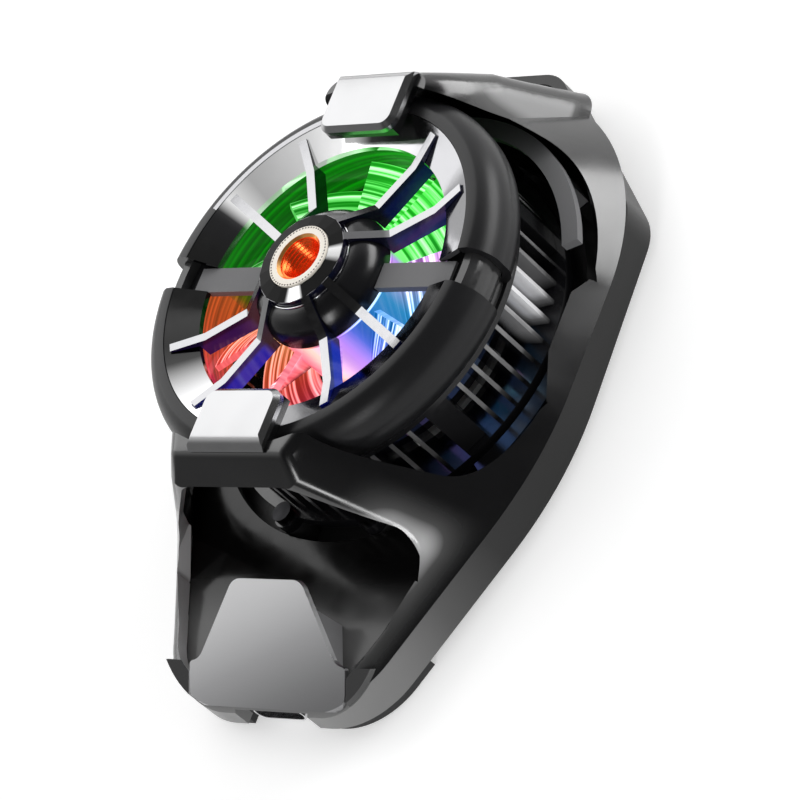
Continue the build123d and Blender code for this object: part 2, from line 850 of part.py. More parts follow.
# Liner: a flat hoop below the upper arm, on two posts
liner_start = 90 - liner_span / 2
with BuildPart() as liner:
    with BuildSketch(radial_plane(liner_start)):
        with Locations((liner_inner_radius, liner_top)):
            Rectangle(liner_outer_radius - liner_inner_radius, liner_thickness,
                      align=(Align.MIN, Align.MAX))
    revolve(axis=Axis.Z, revolution_arc=liner_span)
    for lean in (-liner_post_angle, liner_post_angle):
        with BuildSketch(radial_plane(90 + lean)):
            with Locations((liner_inner_radius, seam_height)):
                Rectangle(liner_outer_radius - liner_inner_radius - liner_post_step,
                          liner_top - liner_thickness / 2 - seam_height, align=(Align.MIN, Align.MIN))
        extrude(amount=liner_post_width / 2, both=True)
finish(liner.part, "liner")

# Fan seat: a disc on the heat sink with the bearing tube in its middle
with BuildPart() as fan_seat:
    with Locations((0, 0, seat_bottom)):
        Cylinder(seat_radius, seat_thickness, align=stand)
        Cylinder(tube_radius, seat_thickness + tube_length, align=stand)
    with Locations((0, 0, tube_floor)):
        Cylinder(tube_bore, tube_length + seat_thickness, align=stand, mode=Mode.SUBTRACT)
finish(fan_seat.part, "fan_seat")

# Bush that the shaft turns in
with BuildPart() as bearing_bush:
    with Locations((0, 0, bush_bottom)):
        Cylinder(tube_bore - shaft_fit, bush_length, align=stand)
        Cylinder(shaft_radius + shaft_fit, bush_length, align=stand, mode=Mode.SUBTRACT)
finish(bearing_bush.part, "bearing_bush")

# Stator core: a hub with six teeth that end in wide shoes
core_bottom = seat_top + core_lift
with BuildPart() as stator_core:
    with BuildSketch(Plane.XY.offset(core_bottom)):
        Circle(core_radius)
        Circle(core_radius - shoe_depth, mode=Mode.SUBTRACT)
        with PolarLocations(0, tooth_count, start_angle=180 / tooth_count):
            Rectangle(core_radius + overrun, shoe_gap, align=(Align.MIN, Align.CENTER), mode=Mode.SUBTRACT)
        with PolarLocations(0, tooth_count):
            Rectangle(core_radius - shoe_depth / 2, tooth_width, align=(Align.MIN, Align.CENTER))
        Circle(tube_radius + shaft_fit + core_hub_wall)
        Circle(tube_radius + shaft_fit, mode=Mode.SUBTRACT)
    extrude(amount=core_height)
finish(stator_core.part, "stator_core")

# Coils: one winding round each tooth
coil_start = tube_radius + core_hub_wall + air_gap
coil_half_width = tooth_width / 2 + coil_build
coil_end = math.sqrt((core_radius - shoe_depth - slip_gap) ** 2 - coil_half_width ** 2)
with BuildPart() as stator_coils:
    with PolarLocations(0, tooth_count):
        with Locations((coil_start, 0, core_bottom + core_height / 2)):
            Box(coil_end - coil_start, 2 * coil_half_width, core_height + 2 * coil_rise,
                align=(Align.MIN, Align.CENTER, Align.CENTER))
            Box(coil_end - coil_start, tooth_width + 2 * seat_gap, core_height + 2 * seat_gap,
                align=(Align.MIN, Align.CENTER, Align.CENTER), mode=Mode.SUBTRACT)
finish(stator_coils.part, "stator_coils")

# Driver board below the coils
with BuildPart() as driver_board:
    with BuildSketch(Plane.XY.offset(seat_top + seat_gap)):
        Circle(seat_radius - board_rim)
        Circle(tube_radius + slip_gap, mode=Mode.SUBTRACT)
    extrude(amount=board_thickness)
finish(driver_board.part, "driver_board")

# Light board round the fan seat, with its chips and the diffuser over them
with BuildPart() as light_board:
    with BuildSketch(Plane.XY.offset(seat_bottom)):
        Circle(light_outer_radius)
        Circle(light_inner_radius, mode=Mode.SUBTRACT)
    extrude(amount=board_thickness)
finish(light_board.part, "light_board")

chip_floor = seat_bottom + board_thickness
with BuildPart() as light_chips:
    with BuildSketch(Plane.XY.offset(chip_floor)):
        with PolarLocations(chip_radius, chip_count):
            Rectangle(chip_side, chip_side)
    extrude(amount=chip_height)
finish(light_chips.part, "light_chips")

with BuildPart() as light_diffuser:
    with BuildSketch(Plane.XY.offset(chip_floor + chip_height + seat_gap)):
        Circle(diffuser_radius)
        Circle(light_inner_radius, mode=Mode.SUBTRACT)
    extrude(amount=diffuser_thickness)
finish(light_diffuser.part, "light_diffuser")

# Fan housing: a short duct with a collar below, a flange above and four pillars on the heat sink
with BuildPart() as fan_housing:
    with BuildSketch(Plane.XZ):
        with BuildLine():
            Polyline(
                (housing_radius, collar_bottom),
                (collar_radius, collar_bottom),
                (collar_radius, collar_top),
                (housing_radius + housing_wall, collar_top),
                (housing_radius + housing_wall, flange_top - flange_thickness),
                (funnel_rim, flange_top - flange_thickness),
                (funnel_rim, flange_top),
                (housing_radius, flange_top),
                close=True,
            )
        make_face()
    revolve(axis=Axis.Z)
    for angle in pillar_angles:
        with BuildSketch(radial_plane(angle)):
            with Locations((pillar_inner, seat_bottom)):
                Rectangle(pillar_depth, collar_top - seat_bottom, align=(Align.MIN, Align.MIN))
        extrude(amount=pillar_width / 2, both=True)
finish(fan_housing.part, "fan_housing")

# Inner ring: the carrier that the two covers of the guard ring close over
inner_floor = rim_height - ring_depth
cover_clear = cover_wall + slip_gap
with BuildPart() as inner_ring:
    with BuildSketch(Plane.XZ):
        with Locations((inner_ring_radius, inner_floor)):
            Rectangle(ring_foot_radius - slip_gap - inner_ring_radius,
                      flange_top - flange_thickness - slip_gap - inner_floor,
                      align=(Align.MIN, Align.MIN))
        with Locations((rim_radius + slip_gap, inner_floor + cover_clear)):
            Rectangle(cover_wall + seat_gap, ring_depth - 2 * cover_clear - slip_gap,
                      align=(Align.MIN, Align.MIN))
        add(ring_section(cover_clear))
    revolve(axis=Axis.Z)
finish(inner_ring.part, "inner_ring")

# Guard ring: an upper and a lower cover, apart by a gap at each side
half_arc = 180 - 2 * cover_gap_angle
for cover_name, start in (("upper_ring_cover", cover_gap_angle), ("lower_ring_cover", 180 + cover_gap_angle)):
    with BuildPart() as ring_cover:
        with BuildSketch(radial_plane(start)):
            add(ring_section())
            add(ring_section(cover_wall), mode=Mode.SUBTRACT)
            with Locations((rim_radius, rim_height - cover_wall)):
                Rectangle(cover_wall, ring_depth, align=(Align.MIN, Align.MAX), mode=Mode.SUBTRACT)
        revolve(axis=Axis.Z, revolution_arc=half_arc)
    finish(ring_cover.part, cover_name)

# Funnel: two bright conical halves that lead into the duct
funnel_foot = rim_height - funnel_drop
for funnel_name, start in (("upper_funnel", cover_gap_angle), ("lower_funnel", 180 + cover_gap_angle)):
    with BuildPart() as funnel:
        with BuildSketch(radial_plane(start)):
            with BuildLine():
                Polyline(
                    (funnel_opening, funnel_foot),
                    (funnel_rim, rim_height - funnel_edge_drop),
                    (funnel_rim, rim_height - funnel_edge_drop - funnel_thickness),
                    (funnel_opening, funnel_foot - funnel_thickness),
                    close=True,
                )
            make_face()
        revolve(axis=Axis.Z, revolution_arc=half_arc)
    finish(funnel.part, funnel_name)


def dome_section(growth=0):
    """Half section of the hub dome, with the well for the nozzle."""
    neck_height = dome_bottom + dome_height
    with BuildSketch() as shape:
        with BuildLine():
            Line((0, dome_bottom), (dome_radius, dome_bottom))
            Line((dome_radius, dome_bottom), (dome_radius, dome_bottom + dome_edge))
            ThreePointArc((dome_radius, dome_bottom + dome_edge), dome_shoulder, (dome_neck, neck_height))
            Line((dome_neck, neck_height), (0, neck_height))
            Line((0, neck_height), (0, dome_bottom))
        make_face()
        if growth:
            offset(amount=growth)
            with Locations((0, dome_bottom)):
                Rectangle(dome_radius, dome_radius, align=(Align.MAX, Align.CENTER), mode=Mode.SUBTRACT)
    return shape.sketch


# Hub dome: a glossy cup over the rotor's hub, which the guard bars hold
with BuildPart() as hub_dome:
    with BuildSketch(Plane.XZ):
        add(dome_section())
    revolve(axis=Axis.Z)
    with Locations((0, 0, dome_bottom + dome_floor)):
        Cylinder(bezel_radius + seat_gap, dome_height, align=stand, mode=Mode.SUBTRACT)
finish(hub_dome.part, "hub_dome")

# Nozzle: a copper sleeve in the dome's well
nozzle_floor = dome_bottom + dome_floor + seat_gap
with BuildPart() as nozzle:
    with Locations((0, 0, nozzle_floor)):
        Cylinder(nozzle_bore + nozzle_wall, nozzle_top - nozzle_floor, align=stand)
        Cylinder(nozzle_bore, nozzle_top - nozzle_floor, align=stand, mode=Mode.SUBTRACT)
finish(nozzle.part, "nozzle")

# Bezel: a pale ring round the nozzle, with a lip over its end
with BuildPart() as nozzle_bezel:
    with Locations((0, 0, nozzle_floor)):
        Cylinder(bezel_radius, bezel_top - nozzle_floor, align=stand)
        Cylinder(nozzle_bore + nozzle_wall + seat_gap, nozzle_top + seat_gap - nozzle_floor, align=stand,
                 mode=Mode.SUBTRACT)
        Cylinder(nozzle_bore + bezel_lip, bezel_top - nozzle_floor, align=stand, mode=Mode.SUBTRACT)
finish(nozzle_bezel.part, "nozzle_bezel")

# Guard spider: eight thin spokes from a claw ring on the dome out to the funnel
funnel_rise = (funnel_drop - funnel_edge_drop) / (funnel_rim - funnel_opening)
spoke_foot = funnel_foot + (spoke_end_radius - funnel_opening) * funnel_rise + seat_gap
spoke_bottom = spoke_kink_height - spoke_depth
claw_floor = dome_bottom + dome_height + seat_gap
with BuildPart() as guard_spider:
    with Locations((0, 0, claw_floor)):
        Cylinder(claw_radius, claw_height, align=stand)
    for angle in spoke_angles:
        with BuildSketch(radial_plane(angle)):
            with BuildLine():
                Polyline(
                    (claw_radius - spoke_width, claw_floor + claw_height),
                    (claw_radius, claw_floor + claw_height),
                    (spoke_kink_radius, spoke_kink_height),
                    (spoke_shoulder_radius, spoke_shoulder_height),
                    (spoke_end_radius, spoke_end_height),
                    (spoke_end_radius, spoke_foot),
                    (funnel_opening - slip_gap, funnel_foot + seat_gap),
                    (funnel_opening - slip_gap, spoke_bottom),
                    (dome_radius + seat_gap, spoke_bottom),
                    (dome_radius + seat_gap, dome_bottom + dome_edge),
                    (claw_radius - spoke_width, claw_floor),
                    close=True,
                )
            make_face()
        extrude(amount=spoke_width / 2, both=True)
    with BuildSketch(Plane.XZ):
        add(dome_section(seat_gap))
    revolve(axis=Axis.Z, mode=Mode.SUBTRACT)
    with Locations((0, 0, claw_floor)):
        Cylinder(bezel_radius + slip_gap, claw_height, align=stand, mode=Mode.SUBTRACT)
finish(guard_spider.part, "guard_spider")

# Guard bars: two flat arms from the fan housing's flange in to the dome
for bar_name, angle in (("right_guard_bar", 0), ("left_guard_bar", 180)):
    with BuildPart() as guard_bar:
        with BuildSketch(radial_plane(angle)):
            with BuildLine():
                Polyline(
                    (dome_radius + seat_gap, bar_top - bar_thickness),
                    (housing_radius - slip_gap, bar_top - bar_thickness),
                    (housing_radius - slip_gap, flange_top + seat_gap),
                    (bar_reach, flange_top + seat_gap),
                    (bar_reach, bar_top),
                    (dome_radius + seat_gap, bar_top),
                    close=True,
                )
            make_face()
        extrude(amount=bar_width / 2, both=True)
    finish(guard_bar.part, bar_name)


def blade_section(radius, pitch, thickness):
    """Slanted, slightly bowed strip across a blade, seen from outside at a radius."""
    half_span = blade_height / math.tan(math.radians(pitch)) / 2
    slant = math.hypot(half_span, blade_height / 2)
    across = (-blade_height / 2 / slant * thickness / 2, half_span / slant * thickness / 2)
    bow = (-blade_height / 2 / slant * blade_bow, half_span / slant * blade_bow)
    middle = blade_bottom + blade_height / 2
    low = (-half_span, middle - blade_height / 2)
    high = (half_span, middle + blade_height / 2)
    with BuildSketch(Plane(origin=(radius, 0, 0), x_dir=(0, 1, 0), z_dir=(1, 0, 0))) as shape:
        with BuildLine():
            Line((low[0] + across[0], low[1] + across[1]), (low[0] - across[0], low[1] - across[1]))
            ThreePointArc((low[0] - across[0], low[1] - across[1]),
                          (bow[0] - across[0], middle + bow[1] - across[1]),
                          (high[0] - across[0], high[1] - across[1]))
            Line((high[0] - across[0], high[1] - across[1]), (high[0] + across[0], high[1] + across[1]))
            ThreePointArc((high[0] + across[0], high[1] + across[1]),
                          (bow[0] + across[0], middle + bow[1] + across[1]),
                          (low[0] + across[0], low[1] + across[1]))
        make_face()
    return shape.sketch


# Impeller: a cup with a shaft boss inside and nine twisted blades
cup_inner = core_radius + magnet_air_gap + rotor_magnet_wall + yoke_wall + 2 * shaft_fit
with BuildPart() as blade:
    loft([blade_section(hub_radius - blade_root_depth, blade_root_pitch, blade_thickness).face(),
          blade_section(blade_tip_radius + blade_root_depth, blade_tip_pitch, blade_tip_thickness).face()])
    with Locations((0, 0, hub_bottom)):
        Cylinder(blade_tip_radius, hub_top, align=stand, mode=Mode.INTERSECT)
        Cylinder(cup_inner, hub_top, align=stand, mode=Mode.SUBTRACT)
with BuildPart() as impeller:
    with Locations((0, 0, hub_bottom)):
        Cylinder(hub_radius, hub_top - hub_bottom, align=stand)
        Cylinder(cup_inner, hub_top - hub_plate - hub_bottom, align=stand, mode=Mode.SUBTRACT)
    with Locations((0, 0, hub_top - hub_plate)):
        Cylinder(hub_boss_radius, hub_boss_length, align=hang)
    with PolarLocations(0, blade_count):
        add(blade.part)
    with Locations((0, 0, shaft_top + seat_gap)):
        Cylinder(shaft_radius + press_gap, hub_top, align=hang, mode=Mode.SUBTRACT)
finish(impeller.part, "impeller")

# Rotor magnet and the steel yoke round it, inside the impeller's cup
magnet_inner = core_radius + magnet_air_gap
for rotor_name, inner, wall, length in (
    ("rotor_magnet", magnet_inner, rotor_magnet_wall, rotor_magnet_length),
    ("rotor_yoke", magnet_inner + rotor_magnet_wall + shaft_fit, yoke_wall,
     hub_top - hub_plate - seat_gap - hub_bottom - yoke_rise),
):
    with BuildPart() as rotor_ring:
        with BuildSketch(Plane.XY.offset(hub_bottom + yoke_rise)):
            Circle(inner + wall)
            Circle(inner, mode=Mode.SUBTRACT)
        extrude(amount=length)
    finish(rotor_ring.part, rotor_name)

# Shaft, pressed into the impeller's boss, and the clip that keeps it in the bush
with BuildPart() as motor_shaft:
    with Locations((0, 0, shaft_bottom)):
        Cylinder(shaft_radius, shaft_top - shaft_bottom, align=stand)
finish(motor_shaft.part, "motor_shaft")

with BuildPart() as shaft_clip:
    with Locations((0, 0, clip_bottom)):
        Cylinder(clip_radius, clip_thickness, align=stand)
        Cylinder(shaft_radius + press_gap, clip_thickness, align=stand, mode=Mode.SUBTRACT)
finish(shaft_clip.part, "shaft_clip")

# Main board above the socket
with BuildPart() as main_board:
    with Locations((0, -main_board_start, deck_bottom - seat_gap)):
        Box(2 * main_board_half_width, main_board_end - main_board_start, board_thickness,
            align=(Align.CENTER, Align.MAX, Align.MAX))
finish(main_board.part, "main_board")

# Plug socket: a steel shell of the standard size, and the contact tongue inside it
socket_front = -lower_reach + socket_recess
socket_middle = back_gap + seat_gap + socket_height / 2
with BuildPart() as socket_shell:
    with BuildSketch(Plane.XZ.offset(-socket_front)):
        with Locations((0, socket_middle)):
            RectangleRounded(socket_width, socket_height, socket_corner)
    extrude(amount=-socket_length)
    with BuildSketch(Plane.XZ.offset(-socket_front)):
        with Locations((0, socket_middle)):
            RectangleRounded(socket_width - 2 * socket_wall, socket_height - 2 * socket_wall,
                             socket_corner - socket_wall)
    extrude(amount=-(socket_length - socket_back), mode=Mode.SUBTRACT)
finish(socket_shell.part, "socket_shell")

with BuildPart() as socket_tongue:
    with Locations((0, socket_front + socket_length - socket_back - seat_gap, socket_middle)):
        Box(contact_width, contact_length, contact_thickness,
            align=(Align.CENTER, Align.MAX, Align.CENTER))
finish(socket_tongue.part, "socket_tongue")
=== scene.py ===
import math
import bpy
import numpy as np
from mathutils import Matrix, Vector


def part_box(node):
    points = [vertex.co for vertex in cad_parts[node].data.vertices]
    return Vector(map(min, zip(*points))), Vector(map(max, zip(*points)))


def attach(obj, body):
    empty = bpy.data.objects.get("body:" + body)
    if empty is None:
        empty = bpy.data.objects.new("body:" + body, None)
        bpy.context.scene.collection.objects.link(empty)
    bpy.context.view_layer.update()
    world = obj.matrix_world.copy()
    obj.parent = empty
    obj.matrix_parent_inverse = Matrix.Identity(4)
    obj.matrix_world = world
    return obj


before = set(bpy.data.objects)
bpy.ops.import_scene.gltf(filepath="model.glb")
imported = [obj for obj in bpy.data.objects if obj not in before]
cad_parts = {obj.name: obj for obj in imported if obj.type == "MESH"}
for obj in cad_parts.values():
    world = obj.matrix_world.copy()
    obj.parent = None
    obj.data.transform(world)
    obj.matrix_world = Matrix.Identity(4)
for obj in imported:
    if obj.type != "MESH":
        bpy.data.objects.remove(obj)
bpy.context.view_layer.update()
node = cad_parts

# The photograph's view. The cooler lies on its cold plate, and the camera looks down on it from the
# plug's side and the right, turned so that the long way of the body stands upright in the picture.
scene = bpy.context.scene
scene.view_settings.view_transform = "Standard"
lens = bpy.data.cameras.new("camera")
lens.lens = 208.508
lens.sensor_width = 36
lens.clip_start = 0.05
camera = bpy.data.objects.new("camera", lens)
camera.matrix_world = Matrix((
    (0.735016, 0.002777, 0.678044, 0.424880),
    (0.343434, 0.860706, -0.375816, -0.241792),
    (-0.584640, 0.509094, 0.631680, 0.400141),
    (0, 0, 0, 1),
))
scene.collection.objects.link(camera)
scene.camera = camera


# Studio light. Large soft boxes stand where the photograph's highlights come from. Camera and mirrors
# see the room as white, but mirrors see it dark on the camera's side, where a studio hangs black cloth,
# and behind a small flag.
def soft_box(name, towards, away, width, height, watts):
    """Area lamp at a distance from the cooler's middle along a direction, facing the cooler."""
    lamp = bpy.data.lights.new(name, "AREA")
    lamp.shape = "RECTANGLE"
    lamp.size = width
    lamp.size_y = height
    lamp.energy = watts
    holder = bpy.data.objects.new(name, lamp)
    spot = Vector(towards).normalized() * away
    holder.matrix_world = Matrix.Translation(spot) @ spot.to_track_quat("Z", "Y").to_matrix().to_4x4()
    scene.collection.objects.link(holder)


def feed(tree, slot, value):
    """Sets a socket to a number or a colour, or links another node's output to it."""
    if isinstance(value, bpy.types.NodeSocket):
        tree.links.new(value, slot)
    else:
        slot.default_value = value


def calc(tree, operation, *values):
    """Output of a Math node on numbers or other nodes' outputs."""
    made = tree.nodes.new("ShaderNodeMath")
    made.operation = operation
    for slot, value in zip(made.inputs, values):
        feed(tree, slot, value)
    return made.outputs[0]


def times(tree, first, *others):
    """Product of numbers or other nodes' outputs."""
    product = first
    for other in others:
        product = calc(tree, "MULTIPLY", product, other)
    return product


def between(tree, value, low, high, at_low=0.0, at_high=1.0):
    """Output of a smooth step: at_low up to the value low, at_high from the value high on."""
    made = tree.nodes.new("ShaderNodeMapRange")
    made.interpolation_type = "SMOOTHSTEP"
    for slot, number in zip(made.inputs, (value, low, high, at_low, at_high)):
        feed(tree, slot, number)
    return made.outputs[0]


def along(tree, vector, way):
    """Output of a dot product: how far a vector goes along a direction."""
    made = tree.nodes.new("ShaderNodeVectorMath")
    made.operation = "DOT_PRODUCT"
    feed(tree, made.inputs[0], vector)
    feed(tree, made.inputs[1], way)
    return made.outputs["Value"]


def rays(tree, *kinds):
    """1 for rays of the named kinds, such as Camera or Glossy, and 0 for all others."""
    path = tree.nodes.new("ShaderNodeLightPath")
    found = 0.0
    for kind in kinds:
        found = calc(tree, "MAXIMUM", found, path.outputs[f"Is {kind} Ray"])
    return found


box_distance = 0.75
soft_box("box_over_tips", (-0.66, 0.40, 0.66), box_distance, 0.90, 0.70, 2.6)
soft_box("box_at_plug_end", (0.36, -0.85, 0.42), box_distance, 0.14, 0.36, 1.3)
soft_box("box_behind", (0.57, 0.79, 0.24), box_distance, 0.66, 0.32, 4.0)

white = (1, 1, 1, 1)
room_fill = 0.42
black_cloth = (0.678, -0.376, 0.632)
small_flag = (-0.72, -0.66, 0.20)
room = bpy.data.worlds.new("room")
room.use_nodes = True
scene.world = room
wall = room.node_tree
wall.nodes.clear()
way = wall.nodes.new("ShaderNodeTexCoord").outputs["Generated"]
studio = times(wall, between(wall, along(wall, way, black_cloth), -0.10, 0.60, 1.0, 0.05),
               between(wall, along(wall, way, small_flag), 0.80, 0.97, 1.0, 0.25))
seen_plain = rays(wall, "Camera", "Transmission")
mirrored = rays(wall, "Glossy")
wall_seen = wall.nodes.new("ShaderNodeBackground")
feed(wall, wall_seen.inputs["Color"], white)
feed(wall, wall_seen.inputs["Strength"], calc(wall, "MAXIMUM", times(wall, studio, mirrored), seen_plain))
wall_light = wall.nodes.new("ShaderNodeBackground")
feed(wall, wall_light.inputs["Color"], white)
feed(wall, wall_light.inputs["Strength"], room_fill)
wall_pick = wall.nodes.new("ShaderNodeMixShader")
wall_out = wall.nodes.new("ShaderNodeOutputWorld")
feed(wall, wall_pick.inputs["Fac"], calc(wall, "MAXIMUM", seen_plain, mirrored))
feed(wall, wall_pick.inputs[1], wall_light.outputs[0])
feed(wall, wall_pick.inputs[2], wall_seen.outputs[0])
feed(wall, wall_out.inputs["Surface"], wall_pick.outputs[0])

floor_reach = 3.0
floor_drop = 0.0002
paper_grey = (0.82, 0.82, 0.82, 1)
paper_fill = 0.42
floor_mesh = bpy.data.meshes.new("floor")
corner_signs = ((-1, -1), (1, -1), (1, 1), (-1, 1))
floor_corners = [(x * floor_reach, y * floor_reach, -floor_drop) for x, y in corner_signs]
floor_mesh.from_pydata(floor_corners, [], [(0, 1, 2, 3)])
floor = bpy.data.objects.new("floor", floor_mesh)
scene.collection.objects.link(floor)
paper = bpy.data.materials.new("floor_paper")
paper.use_nodes = True
sheet = paper.node_tree
sheet.nodes.clear()
paper_matt = sheet.nodes.new("ShaderNodeBsdfDiffuse")
feed(sheet, paper_matt.inputs["Color"], paper_grey)
paper_glow = sheet.nodes.new("ShaderNodeEmission")
feed(sheet, paper_glow.inputs["Strength"],
     times(sheet, rays(sheet, "Camera", "Glossy", "Transmission"), paper_fill))
paper_sum = sheet.nodes.new("ShaderNodeAddShader")
paper_out = sheet.nodes.new("ShaderNodeOutputMaterial")
feed(sheet, paper_sum.inputs[0], paper_matt.outputs[0])
feed(sheet, paper_sum.inputs[1], paper_glow.outputs[0])
feed(sheet, paper_out.inputs["Surface"], paper_sum.outputs[0])
floor_mesh.materials.append(paper)


# Cold plate. It is turned from aluminium, and its face is lapped flat, so that fine rings of the
# lathe show on it. It stands a little proud of the back and carries the cold to the phone.
def paint(made, socket, value):
    """Feeds a socket of a material's Principled shader."""
    feed(made.node_tree, made.node_tree.nodes["Principled BSDF"].inputs[socket], value)


def finish(name, colour, roughness, metallic=0.0, **more):
    """New material with one Principled shader. Further sockets go in by name, with _ for a space."""
    made = bpy.data.materials.new(name)
    made.use_nodes = True
    paint(made, "Base Color", (*colour, 1))
    paint(made, "Roughness", roughness)
    paint(made, "Metallic", metallic)
    for socket, value in more.items():
        paint(made, socket.replace("_", " "), value)
    return made


def told(tree, kind):
    """The place or the normal of the point that is shaded, by the name Object or Normal."""
    return tree.nodes.new("ShaderNodeTexCoord").outputs[kind]


def relief(made, height, depth, strength=1.0):
    """Lifts a material's surface by a height map of 0 to 1, over a depth in metres."""
    tree = made.node_tree
    lift = tree.nodes.new("ShaderNodeBump")
    feed(tree, lift.inputs["Strength"], strength)
    feed(tree, lift.inputs["Distance"], depth)
    feed(tree, lift.inputs["Height"], height)
    paint(made, "Normal", lift.outputs["Normal"])


def smoothing(angle):
    """Modifier tree that merges a node's loose triangles and shades them smooth, except across edges
    that turn by more than an angle in degrees."""
    name = f"smooth_under_{angle}"
    tree = bpy.data.node_groups.get(name)
    if tree:
        return tree
    merge_distance = 0.000002
    tree = bpy.data.node_groups.new(name, "GeometryNodeTree")
    tree.interface.new_socket("Geometry", in_out="INPUT", socket_type="NodeSocketGeometry")
    tree.interface.new_socket("Geometry", in_out="OUTPUT", socket_type="NodeSocketGeometry")
    start = tree.nodes.new("NodeGroupInput")
    end = tree.nodes.new("NodeGroupOutput")
    merge = tree.nodes.new("GeometryNodeMergeByDistance")
    faces = tree.nodes.new("GeometryNodeSetShadeSmooth")
    edges = tree.nodes.new("GeometryNodeSetShadeSmooth")
    edges.domain = "EDGE"
    turn = tree.nodes.new("GeometryNodeInputMeshEdgeAngle")
    soft = tree.nodes.new("FunctionNodeCompare")
    soft.data_type = "FLOAT"
    soft.operation = "LESS_THAN"
    feed(tree, soft.inputs[0], turn.outputs["Unsigned Angle"])
    feed(tree, soft.inputs[1], math.radians(angle))
    feed(tree, merge.inputs["Geometry"], start.outputs[0])
    feed(tree, merge.inputs["Distance"], merge_distance)
    feed(tree, faces.inputs["Geometry"], merge.outputs["Geometry"])
    feed(tree, edges.inputs["Geometry"], faces.outputs["Geometry"])
    feed(tree, edges.inputs["Shade Smooth"], soft.outputs["Result"])
    feed(tree, end.inputs[0], edges.outputs["Geometry"])
    return tree


def dress(names, made, angle=30):
    """Gives CAD nodes a material and smooth shading."""
    for name in names.split():
        piece = node[name]
        for slot in piece.material_slots:
            slot.material = made
        shade = piece.modifiers.new("shade", "NODES")
        shade.node_group = smoothing(angle)


lapped = finish("lapped_aluminium", (0.68, 0.68, 0.69), 0.28, 1.0)
tree = lapped.node_tree
lathe_rings = tree.nodes.new("ShaderNodeTexWave")
lathe_rings.wave_type = "RINGS"
lathe_rings.rings_direction = "Z"
feed(tree, lathe_rings.inputs["Vector"], told(tree, "Object"))
feed(tree, lathe_rings.inputs["Scale"], 1400)
feed(tree, lathe_rings.inputs["Distortion"], 0.6)
relief(lapped, lathe_rings.outputs["Fac"], 0.00002, 0.5)
dress("cold_plate", lapped)


# Thermoelectric module. Two white alumina plates hold rows of dull grey pellets between them, and a
# ring of black foam keeps damp air out of the gap.
def grain(made, scale, spread, bump, stretch=(1, 1, 1), detail=4.0):
    """Noise on the object's own coordinates. It varies the roughness by a spread and lifts the
    surface by a bump height in metres. The stretch squeezes the noise along an axis, as brushing does."""
    tree = made.node_tree
    scaled = tree.nodes.new("ShaderNodeMapping")
    feed(tree, scaled.inputs["Vector"], told(tree, "Object"))
    feed(tree, scaled.inputs["Scale"], stretch)
    noise = tree.nodes.new("ShaderNodeTexNoise")
    feed(tree, noise.inputs["Vector"], scaled.outputs["Vector"])
    feed(tree, noise.inputs["Scale"], scale)
    feed(tree, noise.inputs["Detail"], detail)
    level = tree.nodes["Principled BSDF"].inputs["Roughness"].default_value
    smoothest = 0.02
    varied = between(tree, noise.outputs["Fac"], 0.3, 0.7, max(level - spread, smoothest), level + spread)
    paint(made, "Roughness", varied)
    if bump:
        relief(made, noise.outputs["Fac"], bump)
    return made


alumina = grain(finish("alumina", (0.84, 0.83, 0.80), 0.55), 900, 0.08, 0.00001)
dress("cold_ceramic hot_ceramic", alumina)
telluride = grain(finish("pellet_metal", (0.28, 0.28, 0.30), 0.42, 0.9), 1500, 0.12, 0.00001)
dress("pellets", telluride)
foam = grain(finish("black_foam", (0.02, 0.02, 0.02), 0.95), 2500, 0.04, 0.0001)
dress("module_gasket", foam)

# Magnets. Twelve nickel-plated arcs lie under a steel ring, in the groove of a soft silicone pad that
# keeps the phone's back from being scratched. The foot pads are of the same silicone.
silicone = grain(finish("silicone", (0.028, 0.028, 0.029), 0.62), 3000, 0.06, 0.00001)
dress("magnet_pad lower_pads upper_pads", silicone)
nickel = grain(finish("nickel_plate", (0.62, 0.60, 0.57), 0.25, 1.0), 1200, 0.06, 0)
dress("magnet_ring magnet_shunt", nickel)


# Base band and back cover. Both are moulded in dark plastic. The band has a fine satin skin, with a
# painted reflection that makes it paler towards the plug's end, and the cover is spark-eroded to a matt
# grain.
def ramp_of(tree, value, points):
    """Colour of a ramp through points of (position, colour), read at a value."""
    made = tree.nodes.new("ShaderNodeValToRGB")
    while len(made.color_ramp.elements) < len(points):
        made.color_ramp.elements.new(0.5)
    for element, (position, colour) in zip(made.color_ramp.elements, points):
        element.position = position
        element.color = (*colour, 1)
    feed(tree, made.inputs["Fac"], value)
    return made.outputs["Color"]


def tones(tree, value, *colours):
    """Blend of colours, one after the other at equal steps, as a value runs from 0 to 1."""
    return ramp_of(tree, value, [(step / (len(colours) - 1), colour) for step, colour in enumerate(colours)])


painted_reflection_from = 0.012
painted_reflection_to = 0.056
satin = grain(finish("band_satin", (0.03, 0.03, 0.03), 0.34, Specular_IOR_Level=0.3), 4000, 0.04, 0)
tree = satin.node_tree
# Painted reflection: the band's colour gets paler towards the plug's end.
reflection_to_plug = between(tree, along(tree, told(tree, "Object"), (0, -1, 0)), painted_reflection_from, painted_reflection_to)
paint(satin, "Base Color", tones(tree, reflection_to_plug, (0.010, 0.010, 0.010), (0.022, 0.022, 0.022),
                                 (0.10, 0.10, 0.10), (0.26, 0.26, 0.26)))
dress("base_band", satin)
eroded = grain(finish("cover_grain", (0.022, 0.022, 0.023), 0.55), 5000, 0.08, 0.00001)
dress("back_cover", eroded)


# Heat sink. Thin fins are folded from aluminium sheet with a glossy black coat and stand on the base
# disc. Painted highlights make their outer edges lighter and, on one arc at the right, their faces bright
# with a faint glow.
def turn_of(degrees):
    """An angle from plus X as a share of the turn, the way that polar gives it."""
    return (degrees / 360 + 0.5) % 1.0


def split(tree, vector):
    """X, Y and Z outputs of a vector."""
    made = tree.nodes.new("ShaderNodeSeparateXYZ")
    feed(tree, made.inputs[0], vector)
    return made.outputs["X"], made.outputs["Y"], made.outputs["Z"]


